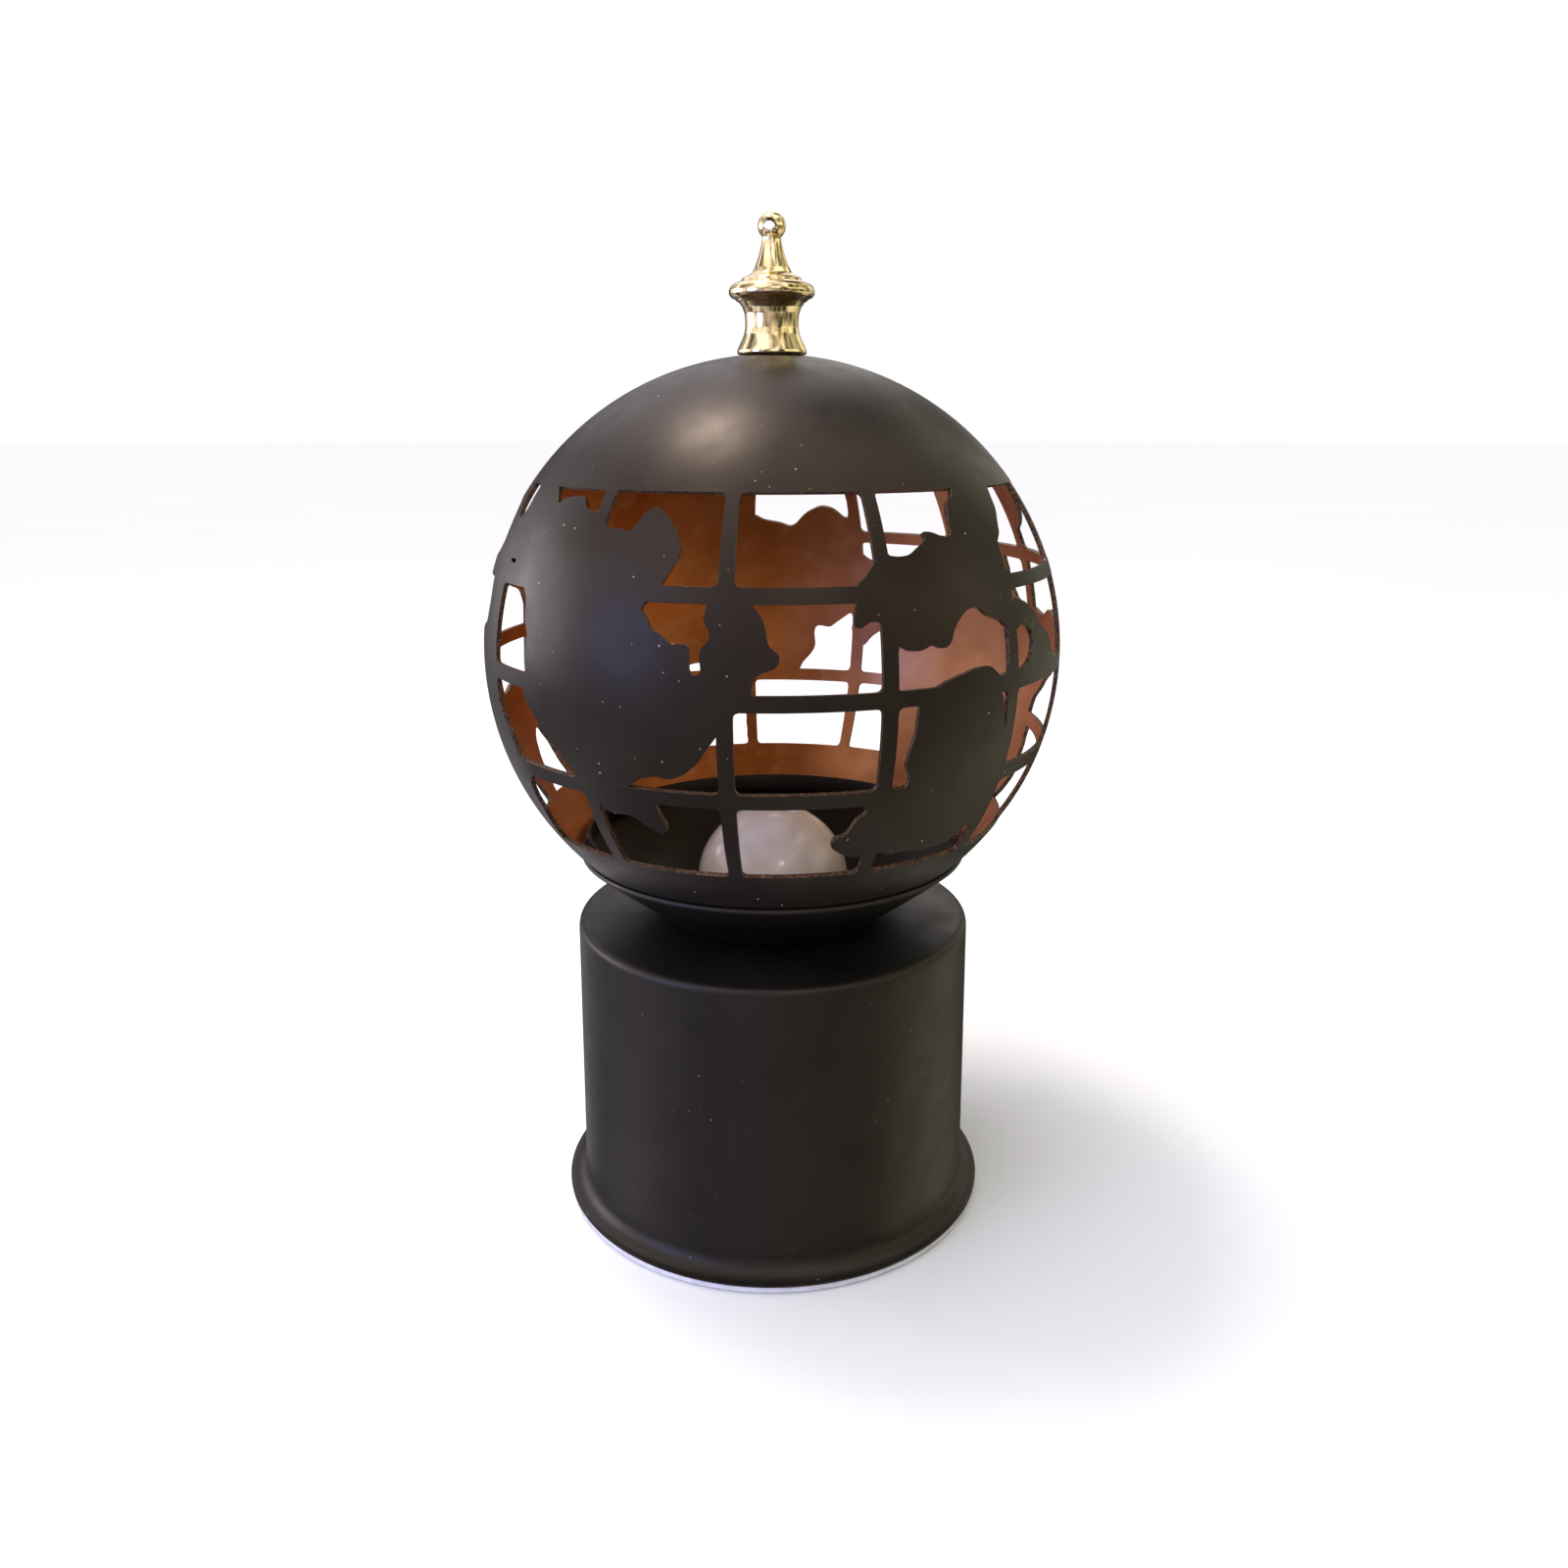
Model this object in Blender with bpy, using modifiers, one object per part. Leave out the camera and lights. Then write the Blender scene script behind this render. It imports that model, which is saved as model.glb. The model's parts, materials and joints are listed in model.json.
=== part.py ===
"""Table lamp with a pierced world globe as its shade.

A sheet-metal globe, cut through along its seas, sits loosely on a dish. The dish is screwed to a
drum base that holds a screw-in LED bulb, three cells, a switch and a driver board.
Frame: origin on the ground under the lamp's axis, +Z up, the globe's front faces -Y.
Longitudes are counted from -Y, growing towards +X; latitudes from the globe's equator.
"""

import math

import bmesh
import bpy
from mathutils import Matrix, Vector

MM = 0.001
GAP = 0.3 * MM  # clearance that touching pieces keep

# Driving dimensions
GLOBE_RADIUS = 82.5 * MM
GLOBE_WALL = 1.2 * MM
GLOBE_CENTRE_Z = 168.2 * MM
RIM_LATITUDE = -46.4  # lower edge of the globe
STUD_RADIUS = 1.9 * MM

MERIDIANS = 13
FIRST_MERIDIAN = -7.4
BAR_HALF_WIDTH = 1.4  # degrees, meridian bars
ROW_EDGES = {1: (35.5, 18.9), 2: (16.2, 1.4), 3: (-1.4, -16.1), 4: (-18.9, -35.3)}

DRUM_RADIUS = 58.6 * MM
DRUM_TOP = 86.5 * MM
DRUM_WALL = 1.0 * MM
FOOT_RADIUS = 63.57 * MM
FOOT_BOTTOM = 2.2 * MM
SHOULDER_RADIUS = 2.5 * MM
FLARE_RADIUS = 5.0 * MM
PAD_HEIGHT = 1.9 * MM

DISH_RIM_RADIUS = 55.3 * MM
DISH_RIM_Z = 113.0 * MM
LEDGE_RADIUS = 57.3 * MM
LEDGE_Z = 107.9 * MM
DISH_WALL = 0.9 * MM

BULB_CENTRE_Z = 95.9 * MM
BULB_RADIUS = 22.7 * MM
CAP_RADIUS = 6.9 * MM

CELL_RADIUS = 7.15 * MM
CELL_LENGTH = 50.5 * MM
CELL_PITCH = 15.4 * MM
CELL_Z = 13.0 * MM
CONTACT_X = 27.8 * MM  # inner face of the contact plates

BASE_PLATE_BOTTOM = 2.6 * MM
BASE_PLATE_TOP = 4.4 * MM
TRAY_TOP = 22.1 * MM
ROD_CIRCLE = 46.0 * MM
DISH_SCREW_CIRCLE = 26.4 * MM
THREE_ANGLES = (90.0, 210.0, 330.0)

BRONZE = (0.045, 0.038, 0.034)
BLACK = (0.018, 0.017, 0.018)
BRASS = (0.78, 0.57, 0.22)
STEEL = (0.62, 0.62, 0.63)
NICKEL = (0.72, 0.71, 0.68)
OPAL = (0.86, 0.83, 0.80)


# ---------------------------------------------------------------- scene and small tools

def clear_scene():
    for obj in list(bpy.data.objects):
        bpy.data.objects.remove(obj, do_unlink=True)


def new_collection(name):
    coll = bpy.data.collections.new(name)
    bpy.context.scene.collection.children.link(coll)
    return coll


def material(name, colour, roughness, metallic, alpha=1.0):
    mat = bpy.data.materials.new(name)
    mat.use_nodes = True
    shader = mat.node_tree.nodes["Principled BSDF"]
    shader.inputs["Base Color"].default_value = (*colour, 1.0)
    shader.inputs["Roughness"].default_value = roughness
    shader.inputs["Metallic"].default_value = metallic
    shader.inputs["Alpha"].default_value = alpha
    mat.diffuse_color = (*colour, alpha)
    return mat


def smooth(mesh, angle=math.radians(32)):
    mesh.shade_smooth()
    mesh.set_sharp_from_angle(angle=angle)


def place(name, data, mat, location=(0, 0, 0)):
    obj = bpy.data.objects.new(name, data)
    obj.location = location
    if mat is not None:
        data.materials.append(mat)
    PARTS.objects.link(obj)
    return obj


def cutter_object(name, data, location=(0, 0, 0)):
    obj = bpy.data.objects.new(name, data)
    obj.location = location
    obj.hide_render = True
    obj.display_type = "WIRE"
    CUTTERS.objects.link(obj)
    return obj


def mm_points(*points):
    """(radius, height) pairs given in millimetres, in metres."""
    return [(r * MM, z * MM) for r, z in points]


def arc(cx, cz, radius, start, end, steps):
    """Points of a circular arc in the (radius, height) plane, angles in degrees."""
    points = []
    for i in range(steps + 1):
        a = math.radians(start + (end - start) * i / steps)
        points.append((cx + radius * math.cos(a), cz + radius * math.sin(a)))
    return points


def profile_mesh(name, points):
    """An open chain of edges in the XZ plane, to be turned round Z."""
    mesh = bpy.data.meshes.new(name)
    bm = bmesh.new()
    verts = [bm.verts.new((r, 0.0, z)) for r, z in points]
    for a, b in zip(verts, verts[1:]):
        bm.edges.new((a, b))
    bm.to_mesh(mesh)
    bm.free()
    return mesh


def turned(name, points, mat, steps, wall=None, location=(0, 0, 0)):
    """Turn a profile round Z. Without a wall, the profile starts and ends on the axis."""
    obj = place(name, profile_mesh(name, points), mat, location)
    screw = obj.modifiers.new("Turn", "SCREW")
    screw.axis = "Z"
    screw.angle = math.tau
    screw.steps = steps
    screw.render_steps = steps
    screw.use_merge_vertices = True
    screw.merge_threshold = 0.00001
    screw.use_smooth_shade = True
    if wall:
        shell = obj.modifiers.new("Wall", "SOLIDIFY")
        shell.thickness = wall
        shell.offset = -1.0
        shell.use_even_offset = True
    return obj


def ring(name, inner, outer, low, high, mat, steps, location=(0, 0, 0)):
    """A flat ring: its section is a closed rectangle clear of the axis."""
    mesh = bpy.data.meshes.new(name)
    bm = bmesh.new()
    corners = [(inner, high), (outer, high), (outer, low), (inner, low)]
    verts = [bm.verts.new((r, 0.0, z)) for r, z in corners]
    for a, b in zip(verts, verts[1:] + verts[:1]):
        bm.edges.new((a, b))
    bm.to_mesh(mesh)
    bm.free()
    obj = place(name, mesh, mat, location)
    screw = obj.modifiers.new("Turn", "SCREW")
    screw.axis = "Z"
    screw.angle = math.tau
    screw.steps = steps
    screw.render_steps = steps
    screw.use_merge_vertices = True
    screw.merge_threshold = 0.00001
    return obj


def cylinder_mesh(name, radius, low, high, steps):
    mesh = bpy.data.meshes.new(name)
    bm = bmesh.new()
    middle = Matrix.Translation((0, 0, (low + high) / 2))
    bmesh.ops.create_cone(bm, cap_ends=True, segments=steps, radius1=radius, radius2=radius,
                          depth=high - low, matrix=middle)
    bm.to_mesh(mesh)
    bm.free()
    return mesh


def box_mesh(name, low, high):
    mesh = bpy.data.meshes.new(name)
    bm = bmesh.new()
    size = [b - a for a, b in zip(low, high)]
    centre = [(a + b) / 2 for a, b in zip(low, high)]
    bmesh.ops.create_cube(bm, size=1.0,
                          matrix=Matrix.Translation(centre) @ Matrix.Diagonal((*size, 1.0)))
    bm.to_mesh(mesh)
    bm.free()
    return mesh


def mm_box(name, low, high, mat=None, round_edges=0.0):
    """A box between two corners given in millimetres."""
    mesh = box_mesh(name, [v * MM for v in low], [v * MM for v in high])
    if mat is None:
        return cutter_object(name, mesh)
    obj = place(name, mesh, mat)
    if round_edges:
        bevel = obj.modifiers.new("Edges", "BEVEL")
        bevel.width = round_edges * MM
        bevel.segments = 1
    return obj


def drill(name, x, y, radius, low, high, steps=12):
    """A round cutter along Z, in metres."""
    return cutter_object(name, cylinder_mesh(name, radius, low, high, steps), (x, y, 0))


def boolean(obj, other, operation="DIFFERENCE"):
    mod = obj.modifiers.new(operation.title(), "BOOLEAN")
    mod.operation = operation
    mod.object = other
    return mod


def on_circle(radius, degrees):
    a = math.radians(degrees)
    return radius * math.cos(a), radius * math.sin(a)


def outline_mesh(name, points, half_thickness):
    """A closed flat outline in XY, thickened along Z, as a mesh with its caps joined on."""
    curve = bpy.data.curves.new(name, "CURVE")
    curve.dimensions = "2D"
    curve.fill_mode = "BOTH"
    curve.extrude = half_thickness
    spline = curve.splines.new("POLY")
    spline.points.add(len(points) - 1)
    for point, (x, y) in zip(spline.points, points):
        point.co = (x, y, 0.0, 1.0)
    spline.use_cyclic_u = True
    return curve_to_mesh(name, curve)


def curve_to_mesh(name, curve):
    holder = bpy.data.objects.new(name + "_curve", curve)
    bpy.context.scene.collection.objects.link(holder)
    bpy.context.view_layer.update()
    graph = bpy.context.evaluated_depsgraph_get()
    mesh = bpy.data.meshes.new_from_object(holder.evaluated_get(graph))
    bpy.data.objects.remove(holder, do_unlink=True)
    bm = bmesh.new()
    bm.from_mesh(mesh)
    bmesh.ops.remove_doubles(bm, verts=bm.verts, dist=0.00001)
    bmesh.ops.recalc_face_normals(bm, faces=bm.faces)
    bm.to_mesh(mesh)
    bm.free()
    mesh.name = name
    return mesh


def wire(name, points, radius, mat, resolution=2):
    """A round wire along points given in metres, with closed ends."""
    curve = bpy.data.curves.new(name, "CURVE")
    curve.dimensions = "3D"
    curve.bevel_depth = radius
    curve.bevel_resolution = resolution
    curve.use_fill_caps = True
    spline = curve.splines.new("POLY")
    spline.points.add(len(points) - 1)
    for point, co in zip(spline.points, points):
        point.co = (*co, 1.0)
    return place(name, curve, mat)


def smooth_route(route, per_span=4):
    """Catmull-Rom points through a route given in millimetres."""
    knots = [Vector(p) * MM for p in route]
    knots = [knots[0] * 2 - knots[1]] + knots + [knots[-1] * 2 - knots[-2]]
    points = []
    for i in range(1, len(knots) - 2):
        a, b, c, d = knots[i - 1:i + 3]
        for k in range(per_span):
            t = k / per_span
            points.append(0.5 * (2 * b + (c - a) * t + (2 * a - 5 * b + 4 * c - d) * t * t
                                 + (3 * b - a - 3 * c + d) * t ** 3))
    points.append(knots[-2])
    return points


# ---------------------------------------------------------------- the globe's windows

def cell_box(column, row):
    """West, east, south and north limits of one cell between the bars, in degrees."""
    pitch = 360.0 / MERIDIANS
    west = FIRST_MERIDIAN + pitch * column + BAR_HALF_WIDTH
    east = FIRST_MERIDIAN + pitch * (column + 1) - BAR_HALF_WIDTH
    if column >= 10:
        west -= 360.0
        east -= 360.0
    north, south = ROW_EDGES[row]
    return west, east, south, north


# Each window: column, row, then its outline. NW, NE, SE and SW are the cell's own corners, and
# the other points are the coast, as (longitude, latitude). Columns run east from the meridian
# just left of the front.
NW, NE, SE, SW = "NW", "NE", "SE", "SW"
WINDOWS = (
    (0, 1, (NW, NE, (18.9, 22.8), (16.4, 20.2), (15.3, 18.9), SW)),
    (0, 2, ((-2.7, 16.2), (-0.8, 12.8), (-0.2, 10), (1.8, 7.8), (0.9, 5.6), (-2.4, 4.4),
            (-3.3, 2.2), (-2.8, 1.4), SE, (18.9, 12.8), (17.5, 13.3), (15.3, 11.9),
            (14, 13.3), (14.8, 16.2))),
    (0, 3, (NW, NE, SE, SW)),
    (0, 4, (NW, (15.3, -18.9), (18, -20), (15.9, -21.7), (14.2, -25), (12, -26.1),
            (11.8, -27.8), (14.8, -30), (18.9, -30.6), SE, SW)),
    (1, 1, (NW, (42, 35.5), (41, 34), (38.7, 32.8), (37.6, 30.8), (36.2, 26.6),
            (29.8, 27.8), (30.5, 26.7), (27.6, 24.7), (21.7, 24.1))),
    (1, 2, ((21.7, 8.9), (23, 8), (26, 7.8), (28, 8.7), (29.8, 8), (32, 8.3), (34.2, 12.2),
            (37.6, 13.9), (39.8, 13.9), (42, 12.2), (46.6, 10), (46.6, 2), (43.7, 1.7),
            (40.3, 3.9), (37.5, 3.5), (34.2, 3.1), (29.8, 1.7), (21.7, 1.6))),
    (1, 3, (NW, (25.9, -1.4), (25.3, -5.6), (24, -12.2), (25.3, -14.4), (24.2, -16.1), SW)),
    (1, 3, ((44.2, -1.4), NE, (46.6, -9.4), (45.6, -4.5))),
    (1, 4, ((21.7, -30.2), (24, -31), (28, -30.8), (33, -31.3), (39.8, -31.1),
            (42.6, -28.9), (45, -27.8), (46.6, -28.4), SE, SW)),
    (2, 1, ((55.5, 35.5), NE, SE, SW, (49.4, 24), (51, 26), (53, 29), (54.5, 32))),
    (2, 2, (NW, NE, SE, (67, 1.6), (64.5, 3), (63.8, 5.5), (59.5, 8.5), (57.5, 11),
            (55.5, 12.2), (52, 13.8), (49.5, 14.7))),
    (2, 2, ((49.4, 9), (53.5, 9.2), (55.2, 7), (55.2, 5.5), (54, 3.5), (51, 1.9),
            (49.4, 2.5))),
    (2, 3, (NW, NE, SE, SW)),
    (2, 4, (NW, NE, SE, SW)),
    (3, 1, (NW, (90, 35.5), (94, 30), (97, 26), (102, 23), SE, SW)),
    (3, 2, (NW, NE, (102, 6), (96, 5), (90, 7), (84, 4), (80, 1.4), SW)),
    (3, 3, (NW, (84, -1.4), (88, -5), (92, -8), (97, -13), (97, -16.1), SW)),
    (3, 4, (NW, (95, -18.9), (93, -24), (90, -29), (92, -35.3), SW)),
    (4, 1, (NW, (118, 35.5), (114, 30), (113, 26), (115, 22), (118, 18.9), SW)),
    (4, 2, (NW, (113, 16.2), (112, 10), (108, 6), (104.8, 4.8))),
    (5, 1, (NW, NE, SE, SW)),
    (5, 2, (NW, NE, (157.4, 13), (153, 10.8), (149, 10.6), (144, 12), (139, 14), (132.5, 15))),
    (5, 3, ((151.5, -6), (153.5, -6), (157.4, -9.5), SE, (147.5, -16.1), (149, -10))),
    (5, 4, ((146.5, -18.9), NE, SE, (145.5, -35.3), (146.8, -28))),
    (6, 1, (NW, NE, (185.1, 22.9), (181, 21.3), (175.5, 20), (173, 22.2), (170, 24.5),
            (166.6, 25.5), (163, 24), (160.2, 22.8))),
    (6, 3, ((160.2, -2.6), (164, -4), (166, -5.5), (169.5, -5.3), (170, -11), (173, -15),
            (173.5, -16.1), SW)),
    (6, 4, (NW, NE, SE, SW)),
    (7, 3, ((191, -16.1), (193, -14.8), (199, -14.2), (203, -14.6), (208, -13.5),
            (211, -16.1))),
    (7, 4, ((192, -18.9), (208, -18.9), (206, -22), (203, -25), (204, -30), (201, -35.3),
            SW, (187.9, -24), (190.5, -21))),
    (8, 2, ((218, 16.2), (236, 16.2), (238, 12), (234, 8), (230, 4), (226, 1.4),
            (220, 1.4), (217, 6), (216.5, 11))),
    (8, 4, ((222, -18.9), NE, SE, (228, -35.3), (226, -30), (223, -25))),
    (9, 1, ((255, 35.5), NE, (268.1, 24), (262, 22), (257, 27))),
    (9, 2, ((251.5, 1.4), (251.8, 6), (254, 9), (259, 10.5), (264, 12), (268.1, 12), SE)),
    (9, 3, ((251.5, -1.4), NE, (268.1, -11), (262, -10), (254.5, -10), (252.5, -7))),
    (9, 4, ((251.6, -35.3), (252.5, -27), (255, -21.5), (258, -22.5), (260, -26),
            (262, -31), (264, -35.3))),
    (10, 1, ((-71, 35.5), NE, (-64.2, 30), (-66.5, 28.5), (-69, 29.5), (-71, 33))),
    (10, 1, ((-89.1, 31), (-80, 32), (-74.5, 30), (-72.5, 26), (-72.8, 22.5),
             (-78, 19.6), SW)),
    (10, 2, (NW, (-70.5, 16.2), (-69.5, 12), (-70, 8.5), (-74, 6.5), (-80, 5),
             (-89.1, 4.5))),
    (10, 4, ((-89.1, -29), (-84, -28.7), (-81, -32), (-79.8, -35.3), SW)),
    (11, 1, ((-53.5, 35.5), NE, (-36.5, 31.2), (-37.2, 30.8), (-40, 31.5), (-43, 34),
             (-46, 33.5), (-48.5, 33.2), (-50, 31.8), (-51.5, 33))),
    (11, 1, ((-61.3, 20.6), (-59.8, 21.1), (-58, 20.3), (-59.6, 19.7))),
    (11, 2, (NW, (-52, 16.2), (-50.5, 14.5), (-49.7, 11.5), (-48.3, 8), (-48.2, 4),
             (-48.8, 1.4), SW)),
    (11, 3, (NW, (-49.3, -1.4), (-48.5, -4.5), (-46.3, -6.3), (-43, -9.5), (-40.5, -12.5),
             (-38.2, -15.2), (-38.6, -16.1), (-56.3, -16.1), (-57.3, -13), (-60.6, -8.2),
             (-61.4, -5.5))),
    (11, 4, ((-53, -18.9), NE, SE, (-58, -35.3), (-57.5, -31), (-56.5, -27.5),
             (-56.8, -24), (-56, -21.5))),
    (12, 1, (NW, NE, SE, (-19.1, 18.9), (-16.3, 23.9), (-17.4, 27.8), (-20.2, 31.1),
             (-22.4, 32.6), (-24.7, 31.7), (-25.8, 29.4), (-27.4, 27.8), (-30.2, 28.4),
             (-33.7, 28.9))),
    (12, 2, ((-21.3, 16.2), (-10.6, 16.2), (-11, 13.9), (-9.7, 10.5), (-11.3, 9),
             (-11.3, 4.9), (-13.2, 4.9), (-13.2, 9.2), (-16.3, 9.4), (-18.5, 11),
             (-20.8, 12.2), (-21.3, 13.9), (-22.4, 14.4))),
    (12, 3, ((-8.8, -5), SE, (-26.3, -16.1), (-23, -13.9), (-16.9, -13.6), (-14.1, -12.2),
             (-11.3, -9.1))),
    (12, 4, ((-33.7, -20.2), (-31.3, -22.2), (-26.9, -22.2), (-24.1, -23.9), (-21.3, -25.6),
             (-19.7, -24.4), (-20, -21.7), (-20.8, -18.9), NE, SE, SW)),
)


def on_sphere(longitude, latitude):
    """Unit vector of a place on the globe."""
    lon = math.radians(longitude)
    lat = math.radians(latitude)
    return Vector((math.sin(lon) * math.cos(lat), -math.cos(lon) * math.cos(lat), math.sin(lat)))


def window_outline(column, row, outline):
    west, east, south, north = cell_box(column, row)
    corners = {NW: (west, north), NE: (east, north), SE: (east, south), SW: (west, south)}
    points = []
    for point in outline:
        lon, lat = corners[point] if isinstance(point, str) else point
        points.append((min(max(lon, west), east), min(max(lat, south), north)))
    return points


def window_cutter(name, points):
    """A block through the globe's wall: the outline, flat on the tangent plane at its middle."""
    lon = sum(p[0] for p in points) / len(points)
    lat = sum(p[1] for p in points) / len(points)
    out = on_sphere(lon, lat)
    east = Vector((0, 0, 1)).cross(out).normalized()
    north = out.cross(east)
    flat = []
    for point in points:
        place_on_globe = on_sphere(*point) * GLOBE_RADIUS
        flat.append((place_on_globe.dot(east), place_on_globe.dot(north)))
    mesh = outline_mesh(name, flat, 0.055 * GLOBE_RADIUS)
    frame = Matrix((east, north, out)).transposed().to_4x4()
    centre = Vector((0, 0, GLOBE_CENTRE_Z)) + out * 0.985 * GLOBE_RADIUS
    mesh.transform(Matrix.Translation(centre) @ frame)
    obj = bpy.data.objects.new(name, mesh)
    obj.hide_render = True
    obj.display_type = "WIRE"
    WINDOW_CUTTERS.objects.link(obj)


# ---------------------------------------------------------------- globe and finial

def build_globe():
    pole = 90.0 - math.degrees((STUD_RADIUS + 0.4 * MM) / GLOBE_RADIUS)
    upper = arc(0.0, GLOBE_CENTRE_Z, GLOBE_RADIUS, pole, 0.0, 12)
    lower = arc(0.0, GLOBE_CENTRE_Z, GLOBE_RADIUS, 0.0, RIM_LATITUDE, 7)
    globe = turned("globe_shell", upper + lower[1:], MATERIALS["globe"], 40, wall=GLOBE_WALL)
    for number, (column, row, outline) in enumerate(WINDOWS):
        window_cutter(f"window_cutter_{number:02d}", window_outline(column, row, outline))
    mod = globe.modifiers.new("Windows", "BOOLEAN")
    mod.operation = "DIFFERENCE"
    mod.operand_type = "COLLECTION"
    mod.collection = WINDOW_CUTTERS


def build_finial():
    ball = arc(0.0, 284.9 * MM, 3.9 * MM, 90, -44, 8)
    stem = mm_points((2.65, 281.2), (2.8, 279.8), (3.3, 277.3), (4.0, 274.7), (5.1, 271.9),
                     (6.6, 271.0), (8.7, 269.6), (11.6, 267.8), (12.0, 266.9), (11.4, 265.7),
                     (9.6, 264.4), (8.4, 263.0), (7.6, 261.4), (7.5, 258.0), (7.7, 255.0),
                     (8.1, 253.5), (9.0, 252.0), (9.8, 251.2), (9.8, 250.7), (9.5, 250.45),
                     (8.4, 250.45), (8.3, 251.2))
    bore = [(STUD_RADIUS + GAP, 251.2 * MM), (STUD_RADIUS + GAP, 262 * MM), (0.0, 262 * MM)]
    finial = turned("finial", ball + stem + bore, MATERIALS["brass"], 20)
    eye = cylinder_mesh("finial_eye_cutter", 1.65 * MM, -8 * MM, 8 * MM, 16)
    eye.transform(Matrix.Rotation(math.radians(90), 4, "X"))
    boolean(finial, cutter_object("finial_eye_cutter", eye, (-0.7 * MM, 0, 285.2 * MM)))

    inside_top = GLOBE_CENTRE_Z + GLOBE_RADIUS - GLOBE_WALL
    washer_top = inside_top - 0.5 * MM
    washer_low = washer_top - 1.0 * MM
    ring("finial_washer", STUD_RADIUS + GAP, 5.0 * MM, washer_low, washer_top,
         MATERIALS["steel"], 16)
    head_top = washer_low - GAP
    screw = [(0.0, 261.2 * MM), (STUD_RADIUS, 261.2 * MM), (STUD_RADIUS, head_top),
             (3.6 * MM, head_top), (3.6 * MM, head_top - 1.4 * MM),
             (2.6 * MM, head_top - 2.3 * MM), (0.0, head_top - 2.3 * MM)]
    turned("finial_screw", screw, MATERIALS["steel"], 16)


# ---------------------------------------------------------------- base shells

def build_dish():
    profile = mm_points((DISH_RIM_RADIUS / MM, DISH_RIM_Z / MM), (54.9, 110.4), (54.8, 108.1),
                        (56.9, LEDGE_Z / MM), (LEDGE_RADIUS / MM, 107.0), (55.9, 105.8),
                        (45.0, 97.2), (32.6, 88.1), (29.5, 86.8), (23.3, 86.8))
    dish = turned("seat_dish", profile, MATERIALS["drum"], 36, wall=DISH_WALL)
    head_low = 86.8 * MM + DISH_WALL + GAP
    for number, angle in enumerate(THREE_ANGLES, 1):
        x, y = on_circle(DISH_SCREW_CIRCLE, angle)
        hole = drill(f"dish_screw_cutter_{number}", x, y, 1.7 * MM, 80 * MM, 91 * MM)
        for piece in (dish, DRUM, MOUNTING_PLATE):
            boolean(piece, hole)
        screw = [(0.0, head_low + 1.6 * MM), (1.7 * MM, head_low + 1.6 * MM),
                 (2.7 * MM, head_low + 0.9 * MM), (2.7 * MM, head_low), (1.4 * MM, head_low),
                 (1.4 * MM, 81 * MM), (0.0, 81 * MM)]
        turned(f"dish_screw_{number}", screw, MATERIALS["steel"], 12, location=(x, y, 0))


def build_drum():
    shoulder = arc(DRUM_RADIUS - SHOULDER_RADIUS, DRUM_TOP - SHOULDER_RADIUS, SHOULDER_RADIUS,
                   90, 0, 2)
    flare = arc(DRUM_RADIUS + FLARE_RADIUS, FOOT_BOTTOM + 0.8 * MM + FLARE_RADIUS, FLARE_RADIUS,
                180, 270, 4)
    profile = [(22.8 * MM, DRUM_TOP)] + shoulder + flare + [(FOOT_RADIUS, FOOT_BOTTOM)]
    return turned("drum_shell", profile, MATERIALS["drum"], 36, wall=DRUM_WALL)


def build_mounting_plate():
    return ring("mounting_plate", 24.0 * MM, 50.0 * MM, 83.6 * MM, 85.2 * MM,
                MATERIALS["steel"], 24)


def build_tie_rods():
    for number, angle in enumerate(THREE_ANGLES, 1):
        x, y = on_circle(ROD_CIRCLE, angle)
        boolean(MOUNTING_PLATE, drill(f"stud_cutter_{number}", x, y, 1.8 * MM, 82 * MM, 87 * MM))
        boolean(BASE_PLATE, drill(f"plate_screw_cutter_{number}", x, y, 1.7 * MM, 0, 6 * MM))
        rod = mm_points((0, 84.9), (1.5, 84.9), (1.5, 83.3), (3.0, 83.3), (3.0, 4.7),
                        (1.7, 4.7), (1.7, 13.0), (0, 13.0))
        turned(f"tie_rod_{number}", rod, MATERIALS["steel"], 12, location=(x, y, 0))
        screw = mm_points((0, 12.0), (1.4, 12.0), (1.4, 2.3), (2.8, 2.3), (2.6, 1.2),
                          (1.6, 0.8), (0, 0.8))
        turned(f"base_plate_screw_{number}", screw, MATERIALS["steel"], 12, location=(x, y, 0))


def build_base_plate():
    mesh = cylinder_mesh("base_plate", 58.2 * MM, BASE_PLATE_BOTTOM, BASE_PLATE_TOP, 32)
    plate = place("base_plate", mesh, MATERIALS["plastic"])
    boolean(plate, mm_box("cell_bay_cutter", (-28.5, -23.4, 0), (28.5, 23.4, 6)))
    for side in (-1, 1):
        low, high = sorted((side * 22.0, side * 25.3))
        boolean(plate, mm_box(f"hinge_notch_cutter_{side}", (-28.1, low, 0), (-25.9, high, 6)))
    boolean(plate, mm_box("switch_slot_cutter", (-4.6, -40.3, 0), (4.6, -35.7, 6)))
    return plate


# ---------------------------------------------------------------- lampholder and bulb

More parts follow.
